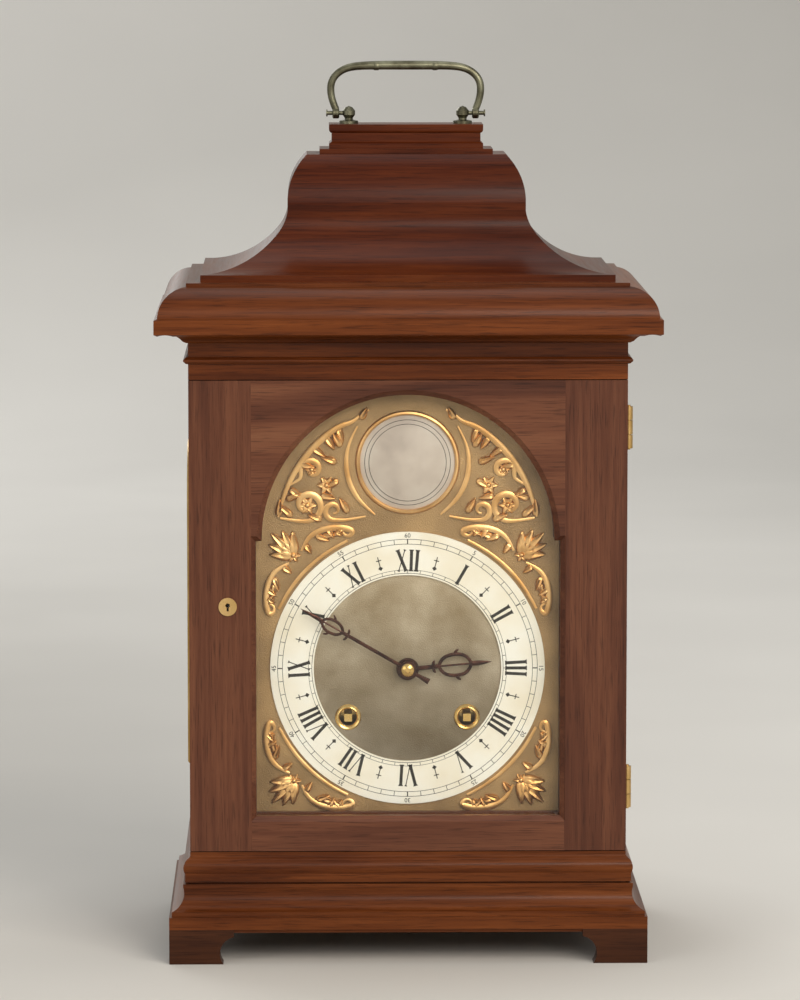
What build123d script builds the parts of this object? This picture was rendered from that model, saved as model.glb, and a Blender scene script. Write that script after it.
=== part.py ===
from build123d import *
import math
import os

# Bracket clock with an arched dial, glazed doors and a two-train fusee movement.
# Millimetres. X is to the right of the dial, the dial looks towards -Y, Z is up.

# Case, outside sizes
BODY_X = 125.0
BODY_Y = 80.0
SIDE_THICK = 12.0
SIDE_Y = 64.0
DEPTH_LESS = 45.0
DOOR_GAP = 0.4
DOOR_BOTTOM = 63.5
DOOR_TOP = 334.5
INNER_X = BODY_X - SIDE_THICK

# Base and feet
PLINTH_HALF = 137.0
FOOT_HIGH = 20.0
FOOT_WIDE = 37.0
FOOT_THICK = 12.0
PLINTH_TOP = 27.0
CAVETTO_TOP = 46.0
BASE_BAND_HALF = 127.0
BASE_TOP = 63.0
FLOOR_LOW = 40.0
FLOOR_THICK = 7.0

# Top of the case
FRIEZE_LOW = 335.0
FRIEZE_TOP = 356.0
CORNICE_HALF = 144.0
CORNICE_TOP = 390.0
DECK_THICK = 8.0
BELL_FOOT = 118.0
BELL_NECK = 68.5
BELL_HEAD = 57.5
BELL_TOP = 463.0
BELL_WALL = 9.0
PAD_X = 44.5
PAD_Y = 15.0
PAD_TOP = 477.0

# Dial aperture, shared by the door, the mask and the dial plate
OPEN_X = 87.0
OPEN_LOW = 83.5
ARCH_Z = 242.4
ARCH_R = 83.6
REBATE = 5.0
GLASS = 2.0

# Side windows
WINDOW_Y = 34.0
WINDOW_LOW = 112.0
WINDOW_ARCH = 256.0
WINDOW_BEAD = 4.0

# Hinges of the two doors
HINGE_X = 126.5
HINGE_Y = 64.2
HINGE_Z = (98.0, 306.0)
KNUCKLE_R = 2.3
KNUCKLE_NOTCH = 2.8
PIN_R = 1.0
HINGE_HALF = 12.0
HINGE_MID = 4.0
LEAF_THICK = 1.0
LEAF_WIDE = 11.0
RUN_FIT = 0.08

# Carrying handle
HANDLE_Z = 483.0
HANDLE_EYE_X = 40.5
HANDLE_BAR = 2.25
POMMEL_X = 33.0

# Dial
DIAL_FRONT = -59.0
DIAL_THICK = 2.0
DIAL_X = 89.0
RING_Z = 166.5
RING_OUT = 79.0
RING_IN = 54.0
RING_THICK = 1.5
BOSS_Z = 285.5
BOSS_R = 27.5
WIND_X = 34.2
WIND_Z = RING_Z - 28.5

# Movement plates
PLATE_X = 75.0
PLATE_LOW = RING_Z - 87.0
PLATE_TOP = RING_Z + 91.0
FRONT_PLATE = -39.0
BACK_PLATE = 22.0
PLATE_THICK = 3.0
PILLAR_SPOTS = ((36.0, -80.0), (69.0, 9.0), (69.0, 83.0))
PILLARS = [(side * x, RING_Z + z) for x, z in PILLAR_SPOTS for side in (-1, 1)]
PIVOT = 0.6
ARBOR = 0.95
CENTRE_ARBOR = 1.5

# Tooth shape, as shares of the pitch and of the module
WHEEL_TOOTH = (0.21, 0.07, 0.9, 1.2, 0.25)
PINION_LEAF = (0.15, 0.1, 0.5, 1.6, 0.12)

# Going train: place in x and z, teeth and module
CENTRE = (0.0, RING_Z)
GOING = (WIND_X, WIND_Z)
GREAT_TEETH = 72
CENTRE_TEETH = 72
CENTRE_MODULE = 0.8
THIRD_TEETH = 66
THIRD_MODULE = 0.65
LEAVES = 6
ESCAPE_TEETH = 35
ESCAPE_R = 13.2
THIRD_X = 18.0

# Striking train
STRIKE = (-WIND_X, WIND_Z)
STRIKE_TEETH = (60, 48, 42, 36)
STRIKE_MODULES = (0.9, 0.7, 0.6, 0.5)
STRIKE_TURNS = (115.0, 60.0, 120.0, 80.0)

# Barrels and fusees
BARREL = (58.0, RING_Z - 67.0)
BARREL_R = 17.5
FUSEE_SMALL = 9.0
FUSEE_BIG = 17.5
FUSEE_FRONT = -28.0
FUSEE_BACK = 9.0
FUSEE_TURNS = 6

# Motion work under the dial
CANNON_TEETH = 20
MINUTE_TEETH = 40
HOUR_TEETH = 36
CANNON_MODULE = 0.6
MINUTE_ANGLE = 235.0

# Pendulum, bell and hammer
PALLET_Z = RING_Z + 61.5
PENDULUM_Y = 34.0
BOB_Z = 77.0
BOB_R = 18.0
GONG_Z = RING_Z + 115.0
GONG_R = 38.0
GONG_Y = -8.0
HAMMER = (-60.0, RING_Z + 55.0)


def block(x, y, z):
    """A box from three (low, high) pairs."""
    size = [pair[1] - pair[0] for pair in (x, y, z)]
    middle = [(pair[1] + pair[0]) / 2 for pair in (x, y, z)]
    return Pos(*middle) * Box(*size)


def along_y(sketch, y):
    """A sketch drawn in x and z, pulled between two y places."""
    return extrude(Plane.XZ.offset(-y[1]) * sketch, amount=y[1] - y[0], dir=(0, -1, 0))


def along_x(sketch, x):
    """A sketch drawn in y and z, pulled between two x places."""
    return extrude(Plane.YZ.offset(x[0]) * sketch, amount=x[1] - x[0], dir=(1, 0, 0))


def rod(place, y, radius):
    """A round bar along Y at an (x, z) place."""
    return along_y(Pos(*place) * Circle(radius), y)


def rod_x(y, z, x, radius):
    return along_x(Pos(y, z) * Circle(radius), x)


def rod_z(x, y, z, radius):
    return Pos(x, y, (z[0] + z[1]) / 2) * Cylinder(radius, z[1] - z[0])


def step_from(place, reach, degrees):
    """The (x, z) place at a reach and an angle from another."""
    angle = math.radians(degrees)
    return (place[0] + reach * math.cos(angle), place[1] + reach * math.sin(angle))


def both_sides(shape):
    return shape + mirror(shape, Plane.YZ)


def solids(*shapes):
    """One node made of several touching pieces."""
    return Compound([piece for shape in shapes for piece in shape.solids()])


# Mouldings

def half_outline(steps, less=0.0):
    """A closed symmetric outline from (half width, height) steps; a third value bows the edge."""
    right = []
    left = []
    place = None
    for step in steps:
        half, high = step[0] - less, step[1]
        if place is not None:
            if len(step) == 3:
                right.append(bowed(place, (half, high), step[2]))
                left.append(bowed((-place[0], place[1]), (-half, high), -step[2]))
            else:
                right.append(Line(place, (half, high)))
                left.append(Line((-place[0], place[1]), (-half, high)))
        place = (half, high)
    first = steps[0][0] - less, steps[0][1]
    low = Line((-first[0], first[1]), first)
    top = Line((-place[0], place[1]), place)
    return make_face(right + left + [low, top])


def bowed(start, end, bow):
    """An arc from start to end whose middle stands off the chord by the bow."""
    across = (end[0] - start[0], end[1] - start[1])
    length = math.hypot(*across)
    middle = ((start[0] + end[0]) / 2, (start[1] + end[1]) / 2)
    stand = (middle[0] + across[1] / length * bow, middle[1] - across[0] / length * bow)
    return ThreePointArc(start, stand, end)


def moulding(steps, less=DEPTH_LESS):
    """A mitred solid of rectangular plan, with the same outline on its four sides."""
    reach = steps_reach(steps)
    wide = along_y(half_outline(steps), (-reach, reach))
    deep = along_x(half_outline(steps, less), (-reach, reach))
    return wide & deep


def steps_reach(steps):
    return max(step[0] for step in steps) + 1.0


# Case body

def arched_opening(grow):
    """The broken-arch opening of the dial, made larger by a margin."""
    low = OPEN_LOW - grow
    straight = Pos(0, (low + ARCH_Z + grow) / 2) * Rectangle(2 * (OPEN_X + grow), ARCH_Z + grow - low)
    return straight + Pos(0, ARCH_Z) * Circle(ARCH_R + grow)


def window_opening(grow):
    low = WINDOW_LOW - grow
    straight = Pos(0, (low + WINDOW_ARCH) / 2) * Rectangle(2 * (WINDOW_Y + grow), WINDOW_ARCH - low)
    return straight + Pos(0, WINDOW_ARCH) * Circle(WINDOW_Y + grow)


def right_side():
    side = block((INNER_X, BODY_X), (-SIDE_Y, SIDE_Y), (FLOOR_LOW, FRIEZE_LOW))
    side -= along_x(window_opening(0), (INNER_X - 1, BODY_X + 1))
    side -= along_x(window_opening(REBATE), (INNER_X - 1, INNER_X + REBATE))
    return side


def hinge_side():
    """The right side, let in for the hinges of both doors."""
    side = right_side()
    for high in HINGE_Z:
        tall = (high - HINGE_HALF - DOOR_GAP, high + HINGE_HALF + DOOR_GAP)
        for face in (-1, 1):
            side -= rod_z(HINGE_X, face * HINGE_Y, tall, KNUCKLE_NOTCH)
            side -= leaf_seat(high, face)
    return side


def leaf_seat(high, face):
    deep = sorted((face * SIDE_Y, face * (SIDE_Y - LEAF_THICK)))
    return block((HINGE_X - LEAF_WIDE, HINGE_X), deep, (high - HINGE_HALF, high + HINGE_HALF))


BOLT_Z = 205.0
BOLT_HALF = 5.0
BOLT_Y = (-62.0, -59.0)
BOLT_THROW = 6.0
CATCH_Z = 205.0
CATCH_X = -104.0
CATCH_REACH = 12.0
CATCH_Y = (58.5, 60.5)


def lock_side():
    """The left side, cut for the lock bolt and the turning catch."""
    side = mirror(right_side(), Plane.YZ)
    deep = (BOLT_Y[0] - DOOR_GAP, BOLT_Y[1] + DOOR_GAP)
    tall = (BOLT_Z - BOLT_HALF - DOOR_GAP, BOLT_Z + BOLT_HALF + DOOR_GAP)
    side -= block((-INNER_X - BOLT_THROW, -INNER_X + 1), deep, tall)
    side -= rod((CATCH_X, CATCH_Z), (CATCH_Y[0] - DOOR_GAP, CATCH_Y[1] + DOOR_GAP), CATCH_REACH + 1)
    return side


def side_windows():
    pane = along_x(window_opening(REBATE), (INNER_X + REBATE - GLASS, INNER_X + REBATE))
    return both_sides(pane)


def side_window_beads():
    ring = along_x(window_opening(WINDOW_BEAD), (BODY_X, BODY_X + 2.0))
    ring -= along_x(window_opening(0), (BODY_X - 1, BODY_X + 3.0))
    outer = ring.edges().filter_by_position(Axis.X, BODY_X + 1.9, BODY_X + 2.1)
    return both_sides(chamfer(outer, 0.8))


def case_floor():
    return block((-INNER_X, INNER_X), (-SIDE_Y, SIDE_Y), (FLOOR_LOW, FLOOR_LOW + FLOOR_THICK))


def base_moulding():
    """Plinth, cavetto and bands that carry the case."""
    steps = (
        (PLINTH_HALF, FOOT_HIGH),
        (PLINTH_HALF, PLINTH_TOP),
        (PLINTH_HALF - 1.5, PLINTH_TOP),
        (PLINTH_HALF - 1.5, PLINTH_TOP + 3),
        (BASE_BAND_HALF + 2, CAVETTO_TOP - 3, -3.0),
        (BASE_BAND_HALF + 2, CAVETTO_TOP - 1),
        (BASE_BAND_HALF - 1, CAVETTO_TOP - 1),
        (BASE_BAND_HALF - 1, CAVETTO_TOP),
        (BASE_BAND_HALF + 1, CAVETTO_TOP),
        (BASE_BAND_HALF + 1, CAVETTO_TOP + 5),
        (BODY_X + 0.5, BASE_TOP - 3, 2.0),
        (BODY_X, BASE_TOP - 2),
        (BODY_X, BASE_TOP),
    )
    inner = block((-INNER_X, INNER_X), (-SIDE_Y, SIDE_Y), (FOOT_HIGH - 1, BASE_TOP + 1))
    sides = block((-BODY_X, BODY_X), (-SIDE_Y, SIDE_Y), (FLOOR_LOW, BASE_TOP + 1))
    return moulding(steps) - inner - sides


def bracket_foot():
    """One corner foot: two mitred brackets with a scrolled inner edge."""
    front = PLINTH_HALF - DEPTH_LESS
    corner = block((PLINTH_HALF - FOOT_WIDE, PLINTH_HALF), (-front, -front + FOOT_THICK), (0, FOOT_HIGH))
    corner -= rod((PLINTH_HALF - FOOT_WIDE - 2, 6), (-front - 1, -front + FOOT_THICK + 1), 10.0)
    turn = block((PLINTH_HALF - FOOT_THICK, PLINTH_HALF), (-front, -front + FOOT_WIDE), (0, FOOT_HIGH))
    turn -= rod_x(-front + FOOT_WIDE + 2, 6, (PLINTH_HALF - FOOT_THICK - 1, PLINTH_HALF + 1), 10.0)
    return corner + turn


def bracket_feet():
    right = bracket_foot()
    right = solids(right, mirror(right, Plane.XZ))
    return solids(right, mirror(right, Plane.YZ))


def apron():
    """The rail set back between the feet."""
    half = PLINTH_HALF - 2.0
    rail = block((-half, half), (-half + DEPTH_LESS, half - DEPTH_LESS), (FOOT_HIGH - 2, FOOT_HIGH))
    rail -= block((-INNER_X, INNER_X), (-SIDE_Y, SIDE_Y), (0, FOOT_HIGH + 1))
    feet = bracket_feet()
    for foot in feet.solids():
        rail -= foot
    return rail


def frieze():
    steps = (
        (BODY_X, FRIEZE_LOW),
        (BODY_X, FRIEZE_LOW + 9),
        (BODY_X + 2, FRIEZE_LOW + 10, 0.4),
        (BODY_X + 2, FRIEZE_LOW + 12, 0.8),
        (BODY_X, FRIEZE_LOW + 13, 0.4),
        (BODY_X, FRIEZE_TOP),
    )
    inner = block((-INNER_X, INNER_X), (-SIDE_Y, SIDE_Y), (FRIEZE_LOW - 1, FRIEZE_TOP + 1))
    return moulding(steps) - inner


def cornice():
    steps = (
        (BODY_X + 1, FRIEZE_TOP),
        (BODY_X + 3, FRIEZE_TOP + 1),
        (CORNICE_HALF - 2, FRIEZE_TOP + 5, -2.5),
        (CORNICE_HALF, FRIEZE_TOP + 6),
        (CORNICE_HALF, FRIEZE_TOP + 14),
        (CORNICE_HALF - 2, FRIEZE_TOP + 15),
        (BODY_X + 1, CORNICE_TOP - 2, 4.5),
        (BODY_X + 1, CORNICE_TOP),
    )
    inner = block((-INNER_X, INNER_X), (-SIDE_Y, SIDE_Y), (FRIEZE_TOP - 1, CORNICE_TOP - DECK_THICK))
    return moulding(steps) - inner


BELL_Z = (CORNICE_TOP, 394.0, 415.0, 428.0, 433.0, 460.0, BELL_TOP)


def bell_steps(inset):
    """Height and half width of the bell top, with a flat part for the neck."""
    return (
        (BELL_FOOT - inset, BELL_Z[0]),
        (BELL_FOOT - inset, BELL_Z[1]),
        (BELL_NECK + 6 - inset, BELL_Z[2], -5.4),
        (BELL_NECK - inset, BELL_Z[3], -1.0),
        (BELL_NECK - inset, BELL_Z[4]),
        (BELL_HEAD - inset, BELL_Z[5], 3.0),
    )


BELL_DEPTH_LESS = (44.0, 44.0, 38.0, 34.0, 34.0, 36.0)
BELL_ROOF = 450.0


def bell_body(inset):
    """Two crossed outlines: wide in x, narrow in y."""
    steps = bell_steps(inset)
    deep = [(step[0] - less, *step[1:]) for step, less in zip(steps, BELL_DEPTH_LESS)]
    reach = BELL_FOOT + 1
    wide = along_y(half_outline(steps), (-reach, reach))
    return wide & along_x(half_outline(deep), (-reach, reach))


def bell_top():
    """The hollow bell of the case with the ledge the pad stands on."""
    reach = (-BELL_FOOT, BELL_FOOT)
    inner = bell_body(BELL_WALL) - block(reach, reach, (BELL_ROOF, BELL_TOP + 1))
    ledge = block((-50.0, 50.0), (-19.0, 19.0), (BELL_Z[5], BELL_TOP))
    return bell_body(0) - inner + ledge


def top_pad():
    steps = (
        (PAD_X, BELL_TOP),
        (PAD_X, BELL_TOP + 3),
        (PAD_X - 1.5, BELL_TOP + 4),
        (PAD_X - 1.5, PAD_TOP - 5),
        (PAD_X, PAD_TOP - 3, 0.4),
        (PAD_X, PAD_TOP),
    )
    return moulding(steps, PAD_X - PAD_Y)


# Handle

def handle_pommels():
    """Turned posts on the pad with the side pins that carry the handle."""
    foot = ((0, 0), (5.5, 0), (5.5, 1.5), (2.4, 2.2), (2.4, 3.2))
    outline = (*foot, (3.7, 5.0), (3.7, 7.4), (2.0, 9.4), (0, 10.2))
    post = Pos(POMMEL_X, 0, PAD_TOP) * revolve(Plane.XZ * Polygon(*outline, align=None), Axis.Z)
    post += rod_x(0, HANDLE_Z, (POMMEL_X, HANDLE_EYE_X + 5.6), 1.2)
    post += rod_x(0, HANDLE_Z, (HANDLE_EYE_X + 4.8, HANDLE_EYE_X + 5.6), 2.0)
    return solids(post, mirror(post, Plane.YZ))


def carrying_handle():
    half = ((HANDLE_EYE_X, 0), (43.3, 8), (43.3, 19), (30.0, 28.0))
    places = [(x, 0, HANDLE_Z + z) for x, z in half]
    places += [(-x, y, z) for x, y, z in reversed(places)]
    path = FilletPolyline(*places, radius=7.0)
    start = Plane(origin=path @ 0, z_dir=path % 0)
    bar = sweep(start * Circle(HANDLE_BAR), path)
    for side in (-1, 1):
        middle = side * HANDLE_EYE_X
        bar += rod_x(0, HANDLE_Z, (middle - 2.0, middle + 2.0), 3.0)
    for side in (-1, 1):
        middle = side * HANDLE_EYE_X
        bar -= rod_x(0, HANDLE_Z, (middle - 6.0, middle + 6.0), 1.2 + RUN_FIT)
    return bar


# Doors, drawn for the front and turned over for the back

def door_frame():
    front = -BODY_Y
    back = -SIDE_Y - DOOR_GAP
    frame = block((-BODY_X, BODY_X), (front, back), (DOOR_BOTTOM, DOOR_TOP))
    frame -= along_y(arched_opening(0), (front - 1, back + 1))
    frame -= along_y(arched_opening(REBATE), (GLASS_Y, back + 1))
    edge = frame.edges().filter_by_position(Axis.Y, front - 0.1, front + 0.1)
    inner = [e for e in edge if inside_door(e)]
    frame = chamfer(inner, 3.0)
    for high in HINGE_Z:
        tall = (high - HINGE_HALF - DOOR_GAP, high + HINGE_HALF + DOOR_GAP)
        frame -= rod_z(HINGE_X, -HINGE_Y, tall, KNUCKLE_NOTCH)
        seat = (high - HINGE_HALF, high + HINGE_HALF)
        frame -= block((HINGE_X - LEAF_WIDE, HINGE_X), (back - LEAF_THICK, back + 1), seat)
    return frame


def inside_door(edge):
    """True for an edge of the opening, not of the outside."""
    place = edge.center()
    return abs(place.X) < BODY_X - 10 and DOOR_BOTTOM + 5 < place.Z < DOOR_TOP - 5


GLASS_Y = -73.0


def door_glass():
    return along_y(arched_opening(REBATE), (GLASS_Y, GLASS_Y + GLASS))


def door_bead():
    ring = along_y(arched_opening(REBATE), (GLASS_Y + GLASS, GLASS_Y + GLASS + 3))
    return ring - along_y(arched_opening(1.0), (GLASS_Y, GLASS_Y + 7))


def hinge_leaf(high, case):
    """One leaf with its knuckles: the case has the outer two and the pin, the door the middle one."""
    tall = (high - HINGE_HALF, high + HINGE_HALF)
    middle = (high - HINGE_MID, high + HINGE_MID)
    if case:
        deep = (-SIDE_Y, -SIDE_Y + LEAF_THICK)
        leaf = block((HINGE_X - LEAF_WIDE, HINGE_X), deep, tall)
        leaf += rod_z(HINGE_X, -HINGE_Y, tall, KNUCKLE_R)
        gap = (middle[0] - DOOR_GAP, middle[1] + DOOR_GAP)
        leaf -= rod_z(HINGE_X, -HINGE_Y, gap, KNUCKLE_NOTCH)
        leaf += rod_z(HINGE_X, -HINGE_Y, (tall[0] - 0.8, tall[1] + 0.8), PIN_R)
        return leaf
    deep = (-SIDE_Y - DOOR_GAP - LEAF_THICK, -SIDE_Y - DOOR_GAP)
    leaf = block((HINGE_X - LEAF_WIDE, HINGE_X), deep, tall)
    leaf -= rod_z(HINGE_X, -HINGE_Y, tall, KNUCKLE_NOTCH)
    web = block((HINGE_X - KNUCKLE_NOTCH - 1, HINGE_X), deep, middle)
    knuckle = rod_z(HINGE_X, -HINGE_Y, middle, KNUCKLE_R)
    return leaf + web + knuckle - rod_z(HINGE_X, -HINGE_Y, tall, PIN_R + RUN_FIT)


def case_hinges(face):
    return turned(solids(*[hinge_leaf(high, True) for high in HINGE_Z]), face)


def door_hinges(face):
    return turned(solids(*[hinge_leaf(high, False) for high in HINGE_Z]), face)


def turned(shape, face):
    return mirror(shape, Plane.XZ) if face > 0 else shape


LOCK_X = (-111.0, -95.0)
LOCK_Y = (-66.0, -57.5)
LOCK_HALF = 16.0
KEY_X = -103.0


def front_door_frame():
    frame = door_frame()
    frame -= block(LOCK_X, (LOCK_Y[0], -SIDE_Y), (BOLT_Z - LOCK_HALF, BOLT_Z + LOCK_HALF))
    frame -= rod((KEY_X, BOLT_Z), (-BODY_Y - 1, LOCK_Y[0] + 1), 3.4)
    return frame


def front_door_lock():
    """The brass lock box let into the back of the stile, with a way for its bolt."""
    box = block(LOCK_X, LOCK_Y, (BOLT_Z - LOCK_HALF, BOLT_Z + LOCK_HALF))
    way = (BOLT_Z - BOLT_HALF - DOOR_GAP, BOLT_Z + BOLT_HALF + DOOR_GAP)
    box -= block((LOCK_X[0] - 1, LOCK_X[1] - 2), (BOLT_Y[0] - DOOR_GAP, BOLT_Y[1] + DOOR_GAP), way)
    box -= rod((KEY_X, BOLT_Z - 2), (LOCK_Y[0] - 1, BOLT_Y[0]), 1.5)
    return box


def lock_bolt():
    return block((LOCK_X[0] - 0.8, LOCK_X[1] - 3), BOLT_Y, (BOLT_Z - BOLT_HALF, BOLT_Z + BOLT_HALF))


def key_escutcheon():
    plate = along_y(Pos(KEY_X, BOLT_Z) * Circle(5.2), (-BODY_Y - 1, -BODY_Y))
    plate += along_y(Pos(KEY_X, BOLT_Z) * Circle(3.4), (-BODY_Y, -BODY_Y + 6))
    hole = Pos(KEY_X, BOLT_Z + 0.8) * Circle(1.3) + Pos(KEY_X, BOLT_Z - 1.0) * Rectangle(1.2, 3.0)
    return plate - along_y(hole, (-BODY_Y - 2, -BODY_Y + 7))


def back_door_frame():
    frame = turned(door_frame(), 1)
    return frame - rod((CATCH_X, CATCH_Z), (SIDE_Y - 1, BODY_Y + 1), 2.0 + RUN_FIT)


def back_door_catch():
    """A knob outside, its spindle and the tongue that turns into the case side."""
    catch = rod((CATCH_X, CATCH_Z), (CATCH_Y[0], BODY_Y + 3), 2.0)
    catch += rod((CATCH_X, CATCH_Z), (BODY_Y + 0.4, BODY_Y + 2), 4.0)
    catch += rod((CATCH_X, CATCH_Z), (BODY_Y + 3, BODY_Y + 9), 6.0)
    tongue = block((CATCH_X - 3, CATCH_X + 3), CATCH_Y, (CATCH_Z - CATCH_REACH, CATCH_Z + 3))
    return catch + tongue


# Dial

MASK_Y = (-63.5, -60.0)


def dial_mask():
    """The wooden surround the dial looks through."""
    outer = block((-INNER_X, INNER_X), MASK_Y, (FLOOR_LOW + FLOOR_THICK, FRIEZE_LOW))
    outer -= along_y(arched_opening(0), (MASK_Y[0] - 1, MASK_Y[1] + 1))
    notch = (BOLT_Z - LOCK_HALF - 1, BOLT_Z + LOCK_HALF + 1)
    return outer - block((-INNER_X - 1, LOCK_X[1] + 1.0), (MASK_Y[0] - 1, MASK_Y[1] + 1), notch)


def dial_plate():
    low = OPEN_LOW - 1
    sheet = Pos(0, (low + ARCH_Z + 3) / 2) * Rectangle(2 * DIAL_X, ARCH_Z + 3 - low)
    sheet += Pos(0, ARCH_Z) * Circle(ARCH_R + 2)
    plate = along_y(sheet, (DIAL_FRONT, DIAL_FRONT + DIAL_THICK))
    plate -= rod(CENTRE, (DIAL_FRONT - 1, DIAL_FRONT + 3), 4.6)
    for side in (-1, 1):
        plate -= rod((side * WIND_X, WIND_Z), (DIAL_FRONT - 1, DIAL_FRONT + 3), 5.0)
    return plate


def chapter_ring():
    ring = Circle(RING_OUT) - Circle(RING_IN)
    return along_y(Pos(*CENTRE) * ring, (DIAL_FRONT - RING_THICK, DIAL_FRONT))


def arch_boss():
    """The domed silvered disc of the arch, left plain."""
    dome_high = 5.0
    radius = (BOSS_R ** 2 + dome_high ** 2) / (2 * dome_high)
    ball = Pos(0, DIAL_FRONT - dome_high + radius, BOSS_Z) * Sphere(radius)
    return ball & rod((0, BOSS_Z), (DIAL_FRONT - dome_high - 1, DIAL_FRONT), BOSS_R)


def corner_spandrels():
    """Cast corner pieces outside the chapter ring, in outline."""
    corner = Polygon((OPEN_X - 3, 0), (OPEN_X - 3, OPEN_X - 3), (0, OPEN_X - 3), align=None)
    corner -= Circle(RING_OUT + 2.0)
    corner &= Rectangle(2 * (OPEN_X - 3), 2 * 68.0)
    corner -= Pos(RING_OUT, 0) * Rectangle(90, 60)
    corner -= Pos(0, RING_OUT) * Rectangle(76, 30)
    pieces = []
    for across in (1, -1):
        for up in (1, -1):
            mirrored = corner if across > 0 else mirror(corner, Plane.YZ)
            mirrored = mirrored if up > 0 else mirror(mirrored, Plane.XZ)
            pieces.append(along_y(Pos(*CENTRE) * mirrored, (DIAL_FRONT - 2, DIAL_FRONT)))
    return solids(*pieces)


def arch_spandrels():
    """The two cast pieces either side of the boss."""
    wing = Circle(ARCH_R - 4) - Pos(0, BOSS_Z - ARCH_Z) * Circle(BOSS_R + 4)
    wing &= Pos(50, 42) * Rectangle(62, 60)
    wing -= Pos(0, CENTRE[1] - ARCH_Z) * Circle(RING_OUT + 3)
    right = along_y(Pos(0, ARCH_Z) * wing, (DIAL_FRONT - 2, DIAL_FRONT))
    return solids(right, mirror(right, Plane.YZ))


def dial_feet():
    feet = [rod((x, z), (DIAL_FRONT + DIAL_THICK, FRONT_PLATE), 3.0) for x in (-66, 66) for z in (128, 236)]
    return solids(*feet)


# Hands

HOUR_Y = (-64.4, -63.4)
MINUTE_Y = (-67.0, -66.0)
HOUR_PIPE = 4.0
CANNON_PIPE = 3.0
HOUR_ANGLE = 85.0
MINUTE_HAND_ANGLE = 300.0


def hand_outline(long, wide, hub):
    """A pierced hand pointing up: stem, open loop and tapered tip."""
    loop = long * 0.62
    stem = Polygon((-1.2, 0), (1.2, 0), (0.9, loop - wide + 1), (-0.9, loop - wide + 1), align=None)
    ring = Pos(0, loop) * (Circle(wide) - Circle(wide - 1.9))
    tip = Polygon((-1.6, loop + wide - 1.2), (1.6, loop + wide - 1.2), (0, long), align=None)
    cross = Pos(0, loop - wide - 3) * Circle(2.2)
    tail = Polygon((-1.0, 0), (-1.8, -14), (1.8, -14), (1.0, 0), align=None)
    return stem + ring + tip + cross + tail + Circle(hub)


def hand(outline, degrees, y, bore):
    """The hand set on the dial centre at a clock angle."""
    shape = Pos(*CENTRE) * Rot(0, 0, -degrees) * outline
    return along_y(shape, y) - rod(CENTRE, (y[0] - 1, y[1] + 1), bore)


def hour_hand():
    return hand(hand_outline(48.0, 6.5, 6.5), HOUR_ANGLE, HOUR_Y, HOUR_PIPE)


def minute_hand():
    return hand(hand_outline(71.0, 4.4, 5.0), MINUTE_HAND_ANGLE, MINUTE_Y, CANNON_PIPE)


# Wheels

def toothed(teeth, module, shape, phase):
    """The outline of a wheel: flat flanks, tips and roots."""
    half, tip, head, root_deep, root = shape
    pitch = 360.0 / teeth
    radius = teeth * module / 2
    points = []
    for n in range(teeth):
        middle = phase + n * pitch
        spots = (
            (-root, radius - root_deep * module),
            (-half, radius),
            (-tip, radius + head * module),
            (tip, radius + head * module),
            (half, radius),
            (root, radius - root_deep * module),
        )
        points += [polar(r, middle + share * pitch) for share, r in spots]
    return Polygon(*points, align=None)


def polar(radius, degrees):
    angle = math.radians(degrees)
    return (radius * math.cos(angle), radius * math.sin(angle))


def crossings(outer, inner, arms=4):
    """Openings between the arms of a wheel."""
    ring = Circle(outer) - Circle(inner)
    bars = Rectangle(2.2 * outer, 3.2) + Rotation(0, 0, 90) * Rectangle(2.2 * outer, 3.2)
    return ring - bars


def wheel(place, teeth, module, phase, y):
    """A crossed-out brass wheel."""
    outline = toothed(teeth, module, WHEEL_TOOTH, phase)
    rim = teeth * module / 2 - 1.2 * module - 2.4
    if rim > 8.0:
        outline -= crossings(rim, 4.5)
    return along_y(Pos(*place) * outline, y)


def pinion(place, leaves, module, phase, y):
    return along_y(Pos(*place) * toothed(leaves, module, PINION_LEAF, phase), y)


def arbor(place, y=(FRONT_PLATE, BACK_PLATE + PLATE_THICK)):
    """A steel arbor between the plates with its two pivots."""
    inner = (FRONT_PLATE + PLATE_THICK + 0.4, BACK_PLATE - 0.4)
    return rod(place, inner, ARBOR) + rod(place, y, PIVOT)


def mesh_phase(angle, teeth):
    """Puts the middle of a gap, not a tooth, on the line of centres."""
    return angle + 180.0 / teeth


GREAT_MODULE = 2 * math.hypot(WIND_X, RING_Z - WIND_Z) / (GREAT_TEETH + LEAVES)
THIRD_REACH = (CENTRE_TEETH + LEAVES) * CENTRE_MODULE / 2
THIRD = (THIRD_X, RING_Z + math.sqrt(THIRD_REACH ** 2 - THIRD_X ** 2))
ESCAPE_REACH = (THIRD_TEETH + LEAVES) * THIRD_MODULE / 2
ESCAPE = (0.0, THIRD[1] + math.sqrt(ESCAPE_REACH ** 2 - THIRD_X ** 2))


def toward(start, end):
    return math.degrees(math.atan2(end[1] - start[1], end[0] - start[0]))


GREAT_Y = (16.0, 18.5)
CENTRE_WHEEL_Y = (-30.0, -28.2)
THIRD_WHEEL_Y = (-4.0, -2.5)
ESCAPE_Y = (8.0, 9.5)


def fusee(place):
    """The grooved cone that evens out the mainspring."""
    long = FUSEE_BACK - FUSEE_FRONT
    points = [(0, 0), (FUSEE_SMALL - 1.5, 0)]
    for n in range(FUSEE_TURNS):
        share = n / FUSEE_TURNS
        wide = FUSEE_SMALL + (FUSEE_BIG - FUSEE_SMALL) * share ** 1.4
        at = long * share
        points += [(wide, at + 1.0), (wide - 1.4, at + long / FUSEE_TURNS)]
    points += [(0, long)]
    cone = revolve(Polygon(*points, align=None), Axis.Y)
    return Pos(place[0], FUSEE_FRONT, place[1]) * cone


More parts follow.
